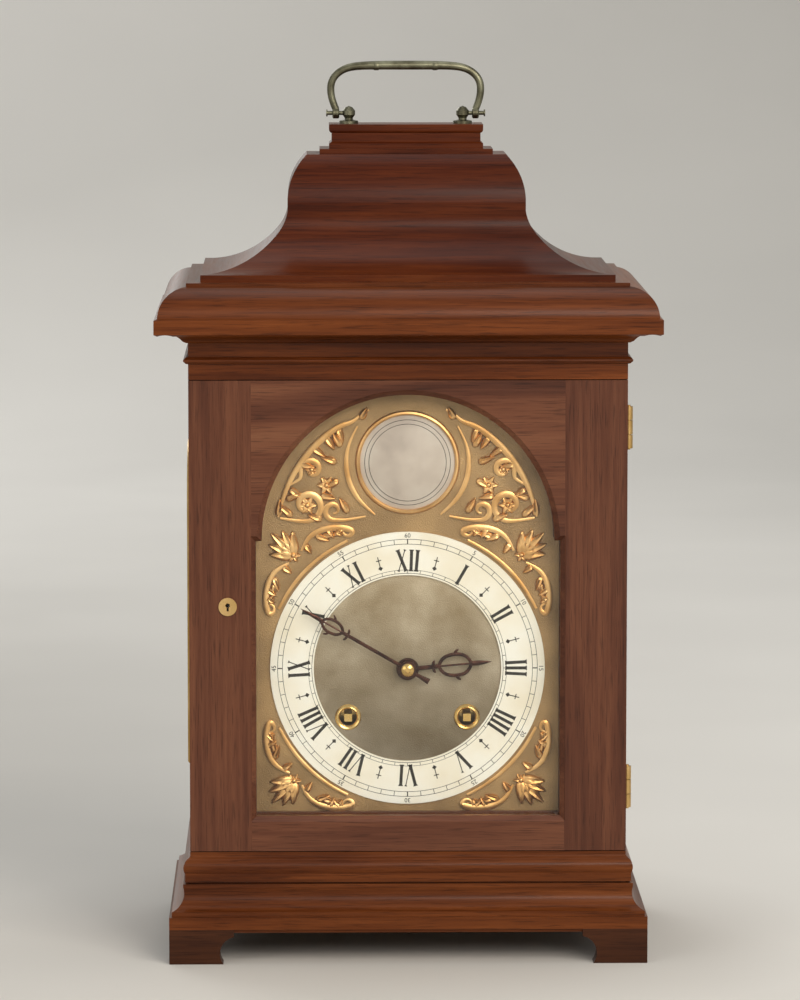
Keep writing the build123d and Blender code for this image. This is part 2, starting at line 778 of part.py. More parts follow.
def winding_arbor(place):
    """Stout arbor, front bearing and the square for the key."""
    bar = rod(place, (FRONT_PLATE + PLATE_THICK + 0.4, BACK_PLATE - 0.4), 3.8)
    bar += rod(place, (FRONT_PLATE - 1, FRONT_PLATE + PLATE_THICK + 1), 3.2)
    bar += rod(place, (BACK_PLATE - 1, BACK_PLATE + PLATE_THICK), 2.2)
    square = Pos(*place) * Rectangle(4.4, 4.4)
    return bar + along_y(square, (-62.0, FRONT_PLATE))


def going_fusee():
    phase = mesh_phase(toward(GOING, CENTRE), GREAT_TEETH)
    great = wheel(GOING, GREAT_TEETH, GREAT_MODULE, phase, GREAT_Y)
    return fusee(GOING) + winding_arbor(GOING) + great


def centre_wheel():
    """Centre arbor: pinion at the back, wheel at the front, long front end for the hands."""
    reach = (CENTRE_TEETH, CENTRE_MODULE)
    whole = wheel(CENTRE, *reach, mesh_phase(toward(CENTRE, THIRD), CENTRE_TEETH), CENTRE_WHEEL_Y)
    whole += pinion(CENTRE, LEAVES, GREAT_MODULE, toward(CENTRE, GOING), (14.0, 21.0))
    whole += rod(CENTRE, (-69.0, BACK_PLATE - 0.4), CENTRE_ARBOR)
    return whole + rod(CENTRE, (BACK_PLATE - 1, BACK_PLATE + PLATE_THICK), PIVOT)


def third_wheel():
    phase = mesh_phase(toward(THIRD, ESCAPE), THIRD_TEETH)
    whole = wheel(THIRD, THIRD_TEETH, THIRD_MODULE, phase, THIRD_WHEEL_Y)
    whole += pinion(THIRD, LEAVES, CENTRE_MODULE, toward(THIRD, CENTRE), (-33.0, -25.0))
    return whole + arbor(THIRD)


def escape_wheel():
    """Pointed raked teeth and the last pinion."""
    points = []
    pitch = 360.0 / ESCAPE_TEETH
    for n in range(ESCAPE_TEETH):
        points.append(polar(ESCAPE_R, n * pitch))
        points.append(polar(ESCAPE_R - 2.4, n * pitch + pitch * 0.25))
        points.append(polar(ESCAPE_R - 2.4, n * pitch + pitch * 0.8))
    outline = Polygon(*points, align=None) - crossings(ESCAPE_R - 4.2, 3.6)
    whole = along_y(Pos(*ESCAPE) * outline, ESCAPE_Y)
    whole += pinion(ESCAPE, LEAVES, THIRD_MODULE, toward(ESCAPE, THIRD), (-8.0, 1.0))
    return whole + arbor(ESCAPE)


def barrel(side):
    """Spring barrel on its arbor, with a square for the ratchet at the front."""
    place = (side * BARREL[0], BARREL[1])
    drum = rod(place, (-32.0, 9.0), BARREL_R - 0.7)
    drum += rod(place, (-32.0, -30.5), BARREL_R)
    drum += rod(place, (7.5, 9.0), BARREL_R)
    return drum - rod(place, (-33.0, 10.0), 2.5 + RUN_FIT)


def barrel_arbors():
    made = []
    for side in (-1, 1):
        place = (side * BARREL[0], BARREL[1])
        bar = rod(place, (FRONT_PLATE - 4, BACK_PLATE + PLATE_THICK + 1), 2.5)
        bar += rod(place, (FRONT_PLATE - 3, FRONT_PLATE), 7.0)
        made.append(bar)
    return solids(*made)


def chain_run(side):
    """The straight run of chain from the barrel to the fusee, and its turns on the barrel."""
    start = (side * BARREL[0], BARREL[1])
    end = (side * WIND_X, WIND_Z)
    angle = toward(start, end)
    out = -side
    shift = polar(FUSEE_BIG + 2.2, angle + 90 * out)
    other = polar(BARREL_R + 1.4, angle + 90 * out)
    a = (start[0] + other[0], start[1] + other[1])
    b = (end[0] + shift[0], end[1] + shift[1])
    middle = ((a[0] + b[0]) / 2, (a[1] + b[1]) / 2)
    length = math.hypot(b[0] - a[0], b[1] - a[1])
    run = Pos(*middle) * Rot(0, 0, toward(a, b)) * Rectangle(length, 1.3)
    return along_y(run, (3.0, 5.0))


def fusee_chains():
    return solids(chain_run(1), chain_run(-1))


# Striking train

def strike_places():
    """The arbors from the strike fusee up to the fly."""
    places = [STRIKE]
    for teeth, module, turn in zip(STRIKE_TEETH, STRIKE_MODULES, STRIKE_TURNS):
        reach = (teeth + LEAVES) * module / 2
        places.append(step_from(places[-1], reach, turn))
    return places


STRIKE_AT = strike_places()
STRIKE_WHEEL_Y = ((12.0, 14.5), (-24.0, -22.5), (-12.0, -10.5), (-2.0, -0.7))
STRIKE_PINION_Y = ((10.0, 17.0), (-26.5, -20.0), (-15.0, -8.0), (-5.0, 2.0))


def strike_wheel(n):
    """Wheel n of the striking train, in mesh with pinion n + 1."""
    phase = mesh_phase(toward(STRIKE_AT[n], STRIKE_AT[n + 1]), STRIKE_TEETH[n])
    return wheel(STRIKE_AT[n], STRIKE_TEETH[n], STRIKE_MODULES[n], phase, STRIKE_WHEEL_Y[n])


def strike_pinion(n):
    turn = toward(STRIKE_AT[n + 1], STRIKE_AT[n])
    return pinion(STRIKE_AT[n + 1], LEAVES, STRIKE_MODULES[n], turn, STRIKE_PINION_Y[n])


def strike_fusee():
    return fusee(STRIKE) + winding_arbor(STRIKE) + strike_wheel(0)


def pin_wheel():
    """Carries the pins that lift the hammer."""
    whole = strike_wheel(1) + strike_pinion(0) + arbor(STRIKE_AT[1])
    for n in range(6):
        at = step_from(STRIKE_AT[1], 12.8, n * 60)
        whole += rod(at, (STRIKE_WHEEL_Y[1][1] - 0.5, STRIKE_WHEEL_Y[1][1] + 3), 0.8)
    return whole


def pallet_wheel():
    return strike_wheel(2) + strike_pinion(1) + arbor(STRIKE_AT[2])


def warning_wheel():
    pin = rod(step_from(STRIKE_AT[3], 6.5, 20), (STRIKE_WHEEL_Y[3][1] - 0.5, STRIKE_WHEEL_Y[3][1] + 3), 0.7)
    return strike_wheel(3) + strike_pinion(2) + arbor(STRIKE_AT[3]) + pin


def fly():
    """The air brake that sets the pace of the blows."""
    place = STRIKE_AT[4]
    vane = Pos(*place) * Rot(0, 0, 30) * Rectangle(17.0, 0.8)
    return along_y(vane, (4.0, 20.0)) + rod(place, (4.0, 20.0), 2.2) + strike_pinion(3) + arbor(place)


# Plates

def pivot_places():
    return [CENTRE, THIRD, ESCAPE, (0.0, PALLET_Z), HAMMER] + STRIKE_AT[1:]


def plate(y, centre_bore, square_bore):
    sheet = Pos(0, (PLATE_LOW + PLATE_TOP) / 2) * Rectangle(2 * PLATE_X, PLATE_TOP - PLATE_LOW)
    whole = along_y(sheet, y)
    cut = (y[0] - 1, y[1] + 1)
    for place in pivot_places():
        radius = centre_bore if place == CENTRE else PIVOT
        whole -= rod(place, cut, radius + RUN_FIT)
    for side in (-1, 1):
        whole -= rod((side * WIND_X, WIND_Z), cut, square_bore + RUN_FIT)
        whole -= rod((side * BARREL[0], BARREL[1]), cut, 2.5)
    return whole


def front_plate():
    return plate((FRONT_PLATE, FRONT_PLATE + PLATE_THICK), CENTRE_ARBOR, 3.2)


def back_plate():
    return plate((BACK_PLATE, BACK_PLATE + PLATE_THICK), PIVOT, 2.2)


def pillars():
    """Turned pillars between the plates, a swell at the middle and collars at the ends."""
    made = []
    low, high = FRONT_PLATE + PLATE_THICK, BACK_PLATE
    middle = (low + high) / 2
    for place in PILLARS:
        post = rod(place, (low, high), 3.0)
        post += rod(place, (low, low + 2), 4.2) + rod(place, (high - 2, high), 4.2)
        post += rod(place, (middle - 3, middle + 3), 4.0)
        made.append(post)
    return solids(*made)


SEAT_Z = (PLATE_LOW - 8.0, PLATE_LOW)


def seat_board():
    """The board the movement stands on, with its two bearers."""
    board = block((-INNER_X, INNER_X), (-50.0, 26.0), SEAT_Z)
    bearer = block((INNER_X - 14, INNER_X), (-50.0, 26.0), (FLOOR_LOW + FLOOR_THICK, SEAT_Z[0]))
    return board + both_sides(bearer)


# Escapement and pendulum

CRUTCH_Y = (26.0, 28.0)


def pallets():
    """Anchor, its arbor and the crutch that takes hold of the pendulum rod."""
    place = (0.0, PALLET_Z)
    inner = ((0, -1.5), (6.5, -3), (10.3, -7.5), (10.1, -11))
    arm = Polygon(*inner, (13.2, -11.5), (13.5, -8), (9, -2), (0, 3.5), align=None)
    body = Pos(*place) * (arm + mirror(arm, Plane.YZ) + Circle(3.0))
    anchor = along_y(body, (7.6, 9.9))
    whole = anchor + arbor(place, (FRONT_PLATE, CRUTCH_Y[1]))
    whole += along_y(Pos(0, PALLET_Z - 20) * Rectangle(4, 42), CRUTCH_Y)
    for side in (-1, 1):
        whole += rod((side * 2.6, PALLET_Z - 39), (CRUTCH_Y[1] - 0.5, PENDULUM_Y + 3), 0.9)
    return whole


def back_cock():
    """The bridge on the back plate that hangs the pendulum."""
    start = BACK_PLATE + PLATE_THICK
    cock = along_y(Pos(0, PALLET_Z + 8) * Rectangle(44, 14), (40.0, 43.0))
    for side in (-1, 1):
        cock += along_y(Pos(side * 18, PALLET_Z + 8) * Rectangle(7, 14), (start, 43.0))
    return cock + rod((0, PALLET_Z), (30.5, 40.0), 1.0) + rod((0, PALLET_Z), (40.0, 43.0), 4.0)


def pendulum_rod():
    place = (0.0, PALLET_Z)
    eye = rod(place, (PENDULUM_Y - 2, PENDULUM_Y + 2), 3.0)
    bar = block((-1.2, 1.2), (PENDULUM_Y - 0.8, PENDULUM_Y + 0.8), (BOB_Z - BOB_R - 5, PALLET_Z - 1.5))
    return eye + bar - rod(place, (PENDULUM_Y - 3, PENDULUM_Y + 3), 1.0 + RUN_FIT)


def pendulum_bob():
    """The lens-shaped brass bob and its rating nut."""
    shares = ((0, 5.0), (0.35, 4.5), (0.7, 2.9), (1.0, 0.4))
    front = [(BOB_R * share, -high) for share, high in shares]
    back = [(x, -high) for x, high in reversed(front)]
    lens = revolve(Polygon(*front, *back, align=None), Axis.Y)
    nut = rod_z(0, PENDULUM_Y, (BOB_Z - BOB_R - 4, BOB_Z - BOB_R - 0.5), 3.0)
    tall = (BOB_Z - BOB_R - 9, BOB_Z + BOB_R + 9)
    slot = block((-1.2, 1.2), (PENDULUM_Y - 0.8, PENDULUM_Y + 0.8), tall)
    return solids(Pos(0, PENDULUM_Y, BOB_Z) * lens - slot, nut - slot)


# Striking bell and hammer

def bell_stand():
    bar = block((-6, 6), (FRONT_PLATE, BACK_PLATE + PLATE_THICK), (PLATE_TOP, PLATE_TOP + 3))
    post = rod_z(0, GONG_Y, (PLATE_TOP + 3, GONG_Z + GONG_R + 6), 2.5)
    return bar + post


def bell():
    """A hollow bell, mouth down."""
    outer = [(GONG_R, -4.0)] + [polar(GONG_R, 15.0 * n) for n in range(1, 6)] + [(0, GONG_R)]
    wall = GONG_R - 2.5
    inner = [(0, wall)] + [polar(wall, 15.0 * n) for n in range(5, 0, -1)] + [(wall, -4.0)]
    whole = Pos(0, GONG_Y, GONG_Z) * revolve(Plane.XZ * Polygon(*outer, *inner, align=None), Axis.Z)
    return whole - rod_z(0, GONG_Y, (GONG_Z, GONG_Z + 60), 2.5)


def bell_nut():
    nut = rod_z(0, GONG_Y, (GONG_Z + GONG_R, GONG_Z + GONG_R + 4), 5.0)
    return nut - rod_z(0, GONG_Y, (GONG_Z, GONG_Z + 60), 2.5)


HAMMER_HEAD = (-51.0, RING_Z + 117.0)


def hammer():
    """Arbor between the plates, a rising stem and the head beside the bell."""
    whole = arbor(HAMMER)
    angle = toward(HAMMER, HAMMER_HEAD)
    reach = math.hypot(HAMMER_HEAD[0] - HAMMER[0], HAMMER_HEAD[1] - HAMMER[1])
    stem = Rot(0, 0, angle) * (Pos(reach / 2, 0) * Rectangle(reach, 3.0))
    whole += along_y(Pos(*HAMMER) * stem, (GONG_Y - 1.0, GONG_Y + 1.0))
    whole += rod(HAMMER, (GONG_Y - 3, GONG_Y + 3), 3.5)
    head = Rot(0, 0, angle - 90) * Rectangle(12.0, 9.0)
    return whole + along_y(Pos(*HAMMER_HEAD) * head, (GONG_Y - 4.0, GONG_Y + 4.0))


# Motion work

MINUTE_REACH = (CANNON_TEETH + MINUTE_TEETH) * CANNON_MODULE / 2
MINUTE_AT = step_from(CENTRE, MINUTE_REACH, MINUTE_ANGLE)
HOUR_MODULE = 2 * MINUTE_REACH / (HOUR_TEETH + LEAVES)
CANNON_WHEEL_Y = (-45.0, -43.6)
HOUR_WHEEL_Y = (-51.0, -49.6)


def cannon_pinion():
    """Turns once an hour with the minute hand."""
    phase = mesh_phase(toward(CENTRE, MINUTE_AT), CANNON_TEETH)
    whole = along_y(Pos(*CENTRE) * toothed(CANNON_TEETH, CANNON_MODULE, WHEEL_TOOTH, phase), CANNON_WHEEL_Y)
    whole += rod(CENTRE, (MINUTE_Y[0] - 0.6, CANNON_WHEEL_Y[0] + 0.5), CANNON_PIPE)
    return whole - rod(CENTRE, (MINUTE_Y[0] - 2, CANNON_WHEEL_Y[1] + 1), CENTRE_ARBOR + RUN_FIT)


def minute_wheel():
    """Carries the motion from the cannon pinion to the hour wheel."""
    back = toward(MINUTE_AT, CENTRE)
    whole = along_y(Pos(*MINUTE_AT) * toothed(MINUTE_TEETH, CANNON_MODULE, WHEEL_TOOTH, back), CANNON_WHEEL_Y)
    whole += pinion(MINUTE_AT, LEAVES, HOUR_MODULE, back, (-52.0, CANNON_WHEEL_Y[0] + 0.5))
    return whole - rod(MINUTE_AT, (-53.0, -43.0), 1.2 + RUN_FIT)


def minute_post():
    return rod(MINUTE_AT, (-53.0, FRONT_PLATE), 1.2) + rod(MINUTE_AT, (-43.2, FRONT_PLATE), 3.0)


def hour_wheel():
    phase = mesh_phase(toward(CENTRE, MINUTE_AT), HOUR_TEETH)
    whole = along_y(Pos(*CENTRE) * toothed(HOUR_TEETH, HOUR_MODULE, WHEEL_TOOTH, phase), HOUR_WHEEL_Y)
    whole += rod(CENTRE, (HOUR_Y[0] - 0.4, HOUR_WHEEL_Y[1]), HOUR_PIPE)
    return whole - rod(CENTRE, (HOUR_Y[0] - 2, HOUR_WHEEL_Y[1] + 1), CANNON_PIPE + RUN_FIT)


def hand_washer():
    """The collet washer and taper pin that hold the hands on."""
    washer = rod(CENTRE, (MINUTE_Y[0] - 1.6, MINUTE_Y[0] - 0.6), 3.6)
    return washer - rod(CENTRE, (-75.0, -60.0), CENTRE_ARBOR + RUN_FIT)


NODES = {
    "left_side": lock_side(),
    "right_side": hinge_side(),
    "side_windows": side_windows(),
    "side_window_beads": side_window_beads(),
    "case_floor": case_floor(),
    "base_moulding": base_moulding() + apron(),
    "bracket_feet": bracket_feet(),
    "frieze": frieze(),
    "cornice": cornice(),
    "bell_top": bell_top(),
    "top_pad": top_pad(),
    "handle_pommels": handle_pommels(),
    "carrying_handle": carrying_handle(),
    "case_hinges_front": case_hinges(-1),
    "case_hinges_back": case_hinges(1),
    "front_door_frame": front_door_frame() + door_bead(),
    "front_door_glass": door_glass(),
    "front_door_hinges": door_hinges(-1),
    "front_door_lock": front_door_lock(),
    "key_escutcheon": key_escutcheon(),
    "lock_bolt": lock_bolt(),
    "back_door_frame": back_door_frame() + turned(door_bead(), 1),
    "back_door_glass": turned(door_glass(), 1),
    "back_door_hinges": door_hinges(1),
    "back_door_catch": back_door_catch(),
    "dial_mask": dial_mask(),
    "dial_plate": dial_plate() + dial_feet(),
    "chapter_ring": chapter_ring(),
    "arch_boss": arch_boss(),
    "dial_spandrels": solids(corner_spandrels(), arch_spandrels()),
    "hour_hand": hour_hand(),
    "hour_wheel": hour_wheel(),
    "minute_hand": minute_hand(),
    "cannon_pinion": solids(cannon_pinion(), hand_washer()),
    "minute_wheel": minute_wheel(),
    "front_plate": front_plate() + minute_post(),
    "back_plate": back_plate(),
    "plate_pillars": pillars(),
    "barrel_arbors": barrel_arbors(),
    "seat_board": seat_board(),
    "going_barrel": barrel(1),
    "strike_barrel": barrel(-1),
    "fusee_chains": fusee_chains(),
    "going_fusee": going_fusee(),
    "centre_wheel": centre_wheel(),
    "third_wheel": third_wheel(),
    "escape_wheel": escape_wheel(),
    "pallets": pallets(),
    "back_cock": back_cock(),
    "pendulum_rod": pendulum_rod(),
    "pendulum_bob": pendulum_bob(),
    "strike_fusee": strike_fusee(),
    "pin_wheel": pin_wheel(),
    "pallet_wheel": pallet_wheel(),
    "warning_wheel": warning_wheel(),
    "fly": fly(),
    "bell_stand": solids(bell_stand(), bell_nut()),
    "bell": bell(),
    "hammer": hammer(),
}

os.makedirs("parts", exist_ok=True)
for name, shape in NODES.items():
    export_step(shape, f"parts/{name}.step")
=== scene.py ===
# %% [markdown]
# # A mahogany bracket clock, dressed for the camera
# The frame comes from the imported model: every node of the clock, in metres, at rest.
# This lesson keeps the nodes whose shape is right, gives each one its real finish, and
# models the fine work that the plain solids leave out: numerals, cast spandrels, pierced
# hands, the turned bell, engraving, screws and chain.

# %% Load the frame
import bpy
import math
from mathutils import Vector, Matrix


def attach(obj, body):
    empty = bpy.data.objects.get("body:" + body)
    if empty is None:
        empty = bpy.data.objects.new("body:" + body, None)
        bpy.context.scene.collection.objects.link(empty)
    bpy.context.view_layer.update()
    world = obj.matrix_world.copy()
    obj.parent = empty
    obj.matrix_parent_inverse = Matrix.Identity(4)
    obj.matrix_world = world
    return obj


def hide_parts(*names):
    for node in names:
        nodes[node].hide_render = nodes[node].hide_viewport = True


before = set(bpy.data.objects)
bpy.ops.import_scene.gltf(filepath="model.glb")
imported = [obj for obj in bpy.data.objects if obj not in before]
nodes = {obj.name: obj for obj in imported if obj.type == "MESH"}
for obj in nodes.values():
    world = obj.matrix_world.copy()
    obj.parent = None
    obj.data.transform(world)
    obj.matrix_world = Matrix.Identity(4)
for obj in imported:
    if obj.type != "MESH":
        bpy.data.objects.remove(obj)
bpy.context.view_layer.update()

# %% [markdown]
# The clock is measured in millimetres, and Blender works in metres, so one small helper
# turns one into the other. The face of the dial plate, the middle of the ring, the boss,
# the arch and the places of the two trains serve many pieces, so they are named here.

# %% Sizes shared by the pieces
MM = 0.001
QUARTER = math.radians(90)
PLATE_Y = -59.0
RING_Z = 166.5
BOSS_Z = 285.5
WINDING = (34.2, 138.0)
BARREL = (58.0, 99.5)
DIAL = Vector((0, PLATE_Y, RING_Z)) * MM
BOSS = Vector((0, PLATE_Y, BOSS_Z)) * MM
RING_FACE = -60.5 * MM
ARCH_Z = 242.4 * MM


def mm(*values):
    return tuple(v * MM for v in values)


print("dial centre", tuple(round(v, 4) for v in DIAL))

# %% [markdown]
# Operators act on whatever is selected, and loading leaves every node selected. So each
# modelling step starts from an empty selection in object mode. These helpers select, open
# a mesh for editing, move, copy and join pieces, and hand a finished piece to its body.

# %% Selection and finishing helpers
def clear():
    if bpy.context.mode != "OBJECT":
        bpy.ops.object.mode_set(mode="OBJECT")
    bpy.ops.object.select_all(action="DESELECT")


def only(obj):
    clear()
    obj.select_set(True)
    bpy.context.view_layer.objects.active = obj


def settle(obj):
    """Puts an object's turn, size and place into its mesh."""
    only(obj)
    bpy.ops.object.transform_apply(location=True, rotation=True, scale=True)
    return obj


def edit_all():
    """Opens the active piece in edit mode with all of it selected."""
    bpy.ops.object.mode_set(mode="EDIT")
    bpy.ops.mesh.select_all(action="SELECT")


def close_edit():
    bpy.ops.object.mode_set(mode="OBJECT")


def outward(obj):
    """Merges doubles and turns every face outwards."""
    only(obj)
    edit_all()
    bpy.ops.mesh.remove_doubles(threshold=1e-6)
    bpy.ops.mesh.normals_make_consistent(inside=False)
    close_edit()
    return obj


def at(x, y, z):
    """The matrix of a move in millimetres."""
    return Matrix.Translation(mm(x, y, z))


def move(obj, x, y, z):
    obj.data.transform(at(x, y, z))
    return obj


def about_y(degrees):
    return Matrix.Rotation(math.radians(degrees), 4, "Y")


def copies(obj, changes):
    """Copies of a piece under each matrix, each with its own mesh, in place of the piece."""
    made = []
    for change in changes:
        twin = obj.copy()
        twin.data = obj.data.copy()
        twin.data.transform(change)
        bpy.context.scene.collection.objects.link(twin)
        made.append(twin)
    bpy.data.objects.remove(obj)
    return made


def join(parts):
    clear()
    for part in parts:
        part.select_set(True)
    bpy.context.view_layer.objects.active = parts[0]
    if len(parts) > 1:
        bpy.ops.object.join()
    return bpy.context.view_layer.objects.active


def use(obj, kind, **settings):
    """Adds one modifier, sets it and applies it."""
    only(obj)
    change = obj.modifiers.new(kind.title(), kind)
    for name, value in settings.items():
        setattr(change, name, value)
    bpy.ops.object.modifier_apply(modifier=change.name)
    return obj


def smooth(obj, degrees=35):
    only(obj)
    bpy.ops.object.shade_smooth_by_angle(angle=math.radians(degrees))
    return obj


def finish_piece(obj, name, body, material, replaces=()):
    obj.name = name
    obj.data.name = name
    obj.data.materials.clear()
    obj.data.materials.append(material)
    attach(obj, body)
    if replaces:
        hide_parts(*replaces)
    print(name, len(obj.data.polygons), "faces on", body)
    return obj


clear()
print("helpers ready")

# %% [markdown]
# ## The paper sweep
# A studio sweep is a sheet of pale paper that lies under the object and curves up behind
# it, so no horizon shows. It is a plane, its back edge pulled up, the fold bevelled round.

# %% The sweep
SWEEP_WIDE, SWEEP_DEEP, SWEEP_HIGH, SWEEP_BEND = 14.0, 15.0, 4.0, 2.0
SWEEP_BACK = 4.5


def pick_edges(obj, test):
    """Goes into edit mode with only the edges whose ends both pass the test."""
    bpy.ops.object.mode_set(mode="EDIT")
    bpy.ops.mesh.select_mode(type="EDGE")
    bpy.ops.mesh.select_all(action="DESELECT")
    close_edit()
    for edge in obj.data.edges:
        edge.select = all(test(obj.data.vertices[v].co) for v in edge.vertices)
    bpy.ops.object.mode_set(mode="EDIT")


clear()
bpy.ops.mesh.primitive_plane_add(size=1, location=(0, SWEEP_BACK - SWEEP_DEEP / 2, 0))
sweep = bpy.context.object
sweep.scale = (SWEEP_WIDE, SWEEP_DEEP, 1)
settle(sweep)
pick_edges(sweep, lambda place: place.y > SWEEP_BACK - 0.1)
bpy.ops.mesh.extrude_region_move(TRANSFORM_OT_translate={"value": (0, 0, SWEEP_HIGH)})
close_edit()
pick_edges(sweep, lambda place: place.y > SWEEP_BACK - 0.1 and place.z < 0.1)
bpy.ops.mesh.bevel(offset=SWEEP_BEND, segments=16, affect="EDGES")
close_edit()
smooth(sweep, 60)
sweep.name = "paper_sweep"
print("sweep", len(sweep.data.polygons), "faces")

# %% [markdown]
# ## How the finishes are made
# Colours are written as sRGB hex values, the way a paint chart gives them, and one
# function turns them into the linear numbers that light needs. Another adds a node with
# its settings and links. The rest name the few nodes that every finish is made of, so
# that a material below reads as a short list of steps.

# %% Colour and node helpers
def colour(code):
    values = [int(code[n:n + 2], 16) / 255 for n in (0, 2, 4)]
    linear = [v / 12.92 if v <= 0.04045 else ((v + 0.055) / 1.055) ** 2.4 for v in values]
    return (*linear, 1.0)


def node(mat, kind, inputs=None, **settings):
    """Adds a node, sets its properties, and sets or links its inputs."""
    made = mat.node_tree.nodes.new("ShaderNode" + kind)
    for name, value in settings.items():
        setattr(made, name, value)
    for name, value in (inputs or {}).items():
        socket = made.inputs[name]
        if isinstance(value, bpy.types.NodeSocket):
            mat.node_tree.links.new(value, socket)
        else:
            socket.default_value = value
    return made


def new_material(name):
    mat = bpy.data.materials.new(name)
    mat.use_nodes = True
    mat.node_tree.nodes.clear()
    return mat


def shade(mat, **inputs):
    """The closing steps of a material: the shader and its output."""
    names = {key.replace("_", " "): value for key, value in inputs.items()}
    shader = node(mat, "BsdfPrincipled", names)
    node(mat, "OutputMaterial", {"Surface": shader.outputs["BSDF"]})
    return mat


def ramp(mat, value, stops):
    """A colour ramp from (position, hex) pairs."""
    made = node(mat, "ValToRGB", {"Fac": value})
    bar = made.color_ramp.elements
    while len(bar) < len(stops):
        bar.new(0.5)
    for element, (place, code) in zip(bar, stops):
        element.position = place
        element.color = colour(code)
    return made.outputs["Color"]


def math_node(mat, operation, *values):
    made = node(mat, "Math", dict(enumerate(values)), operation=operation)
    return made.outputs[0]


def here(mat):
    """The place of a point of the piece in the shared frame, in metres."""
    return node(mat, "TexCoord").outputs["Object"]


def axes_of(mat, place):
    return node(mat, "SeparateXYZ", {0: place}).outputs


def vector(mat, *values):
    return node(mat, "CombineXYZ", dict(enumerate(values))).outputs[0]


def mapped(mat, place, **settings):
    return node(mat, "Mapping", {"Vector": place, **settings}).outputs[0]


def noise(mat, place, scale, detail=2.0, **more):
    return node(mat, "TexNoise", {"Vector": place, "Scale": scale, "Detail": detail, **more}).outputs[0]


def spread(mat, value, low, high, start=0.0, end=1.0):
    """Takes a value from the range start to end over to the range low to high."""
    limits = {"From Min": start, "From Max": end, "To Min": low, "To Max": high}
    return node(mat, "MapRange", {"Value": value, **limits}).outputs[0]


def bumps(mat, height, strength, distance):
    settings = {"Height": height, "Strength": strength, "Distance": distance}
    return node(mat, "Bump", settings).outputs[0]


print("mahogany sample", [round(v, 3) for v in colour("6e3d22")])

# %% [markdown]
# ### Mahogany
# Cuban mahogany is a red-brown hardwood. Sawn and scraped, then French polished, it shows
# long dark pores about a third of a millimetre wide, soft ribbons of lighter and darker
# grain some 20 mm across, and a deep gloss. The pattern is stretched along the grain, so
# what changes from board to board is which way the grain runs: up the sides and stiles,
# along the rails, and round the mitred mouldings. The top is darker than the front, the
# feet are darker and dull, and the boards that don't show are oiled oak.

# %% Which way the grain runs
DEPTH_LESS = 45.0 * MM
STILE_EDGE = 89.5 * MM


def grain_along(mat, rule):
    """Coordinates whose Z runs along the grain. Rules: x, z, mitred, or framed."""
    x, y, z = axes_of(mat, here(mat))
    if rule == "x":
        return vector(mat, y, z, x)
    if rule == "z":
        return vector(mat, x, y, z)
    across = math_node(mat, "ABSOLUTE", x)
    if rule == "mitred":
        deep = math_node(mat, "ADD", math_node(mat, "ABSOLUTE", y), DEPTH_LESS)
        side = math_node(mat, "GREATER_THAN", across, deep)
        beyond = vector(mat, x, z, y)
    else:
        side = math_node(mat, "GREATER_THAN", across, STILE_EDGE)
        beyond = vector(mat, x, y, z)
    chosen = {"Factor": side, "A": vector(mat, y, z, x), "B": beyond}
    return node(mat, "Mix", chosen, data_type="VECTOR").outputs[1]


# %% The polished mahogany
GRAIN_STEPS = (0.36, 0.47, 0.57, 0.68)
OAK_STEPS = (0.34, 0.5, 0.62, 0.75)


def mahogany(name, rule, tones, shift=(0, 0, 0), gloss=0.28, shine=0.22, steps=GRAIN_STEPS):
    """French-polished boards: ribbon grain, fine streaks, dark pores and a thin coat."""
    mat = new_material(name)
    stops = tuple(zip(steps, tones))
    along = grain_along(mat, rule)
    board = mapped(mat, along, Location=shift, Scale=(1, 1, 0.10))
    lines = mapped(mat, along, Location=shift, Scale=(1, 1, 0.035))
    ribbon = noise(mat, board, 34.0, 3.0, Distortion=0.9)
    cloud = noise(mat, board, 9.0)
    streak = noise(mat, lines, 420.0, 4.0, Roughness=0.6)
    pores = noise(mat, lines, 1500.0)
    mixed = 0.0
    for pattern, weight in ((ribbon, 0.42), (streak, 0.26), (cloud, 0.32)):
        mixed = math_node(mat, "ADD", mixed, math_node(mat, "MULTIPLY", pattern, weight))
    pore = ramp(mat, pores, ((0.34, "5a4a42"), (0.44, "ffffff")))
    both = {"Factor": 0.45, "A": ramp(mat, mixed, stops), "B": pore}
    tint = node(mat, "Mix", both, data_type="RGBA", blend_type="MULTIPLY").outputs[2]
    rough = spread(mat, streak, gloss - 0.05, gloss + 0.12)
    return shade(mat, Base_Color=tint, Roughness=rough, Normal=bumps(mat, pores, 0.05, 0.0002),
                 Specular_IOR_Level=shine, Coat_Weight=shine * 0.36, Coat_Roughness=0.12, IOR=1.5)


CASE_TONES = ("401b08", "5a2b0f", "723b18", "864b22")
BASE_TONES = ("3d1a0a", "55290f", "6b3818", "7f4824")
FOOT_TONES = ("281208", "381c0d", "482714", "58341e")
TOP_TONES = ("2c0e03", "421806", "58260c", "6e3814")
DOOR_TONES = ("402014", "583120", "6c412c", "7d5138")
OAK_TONES = ("5a4024", "7c5c36", "94714a", "a5845c")
wood_upright = mahogany("mahogany_polished_upright", "z", DOOR_TONES)
wood_mitred = mahogany("mahogany_polished_mitred", "mitred", CASE_TONES, (0.3, 0.1, 0.2), shine=0.14)
wood_base = mahogany("mahogany_polished_base", "mitred", BASE_TONES, (0.5, 0.2, 0.4), shine=0.12)
wood_foot = mahogany("mahogany_dark_dull_feet", "mitred", FOOT_TONES, (0.2, 0.7, 0.3), 0.36, 0.14)
wood_top = mahogany("mahogany_polished_bell_top", "mitred", TOP_TONES, (0.7, 0.4, 0.1), shine=0.12)
wood_door = mahogany("mahogany_polished_door", "framed", DOOR_TONES, (0.1, 0.35, 0.9))
wood_board = mahogany("oak_board_oiled", "x", OAK_TONES, gloss=0.5, steps=OAK_STEPS)
print("woods ready")

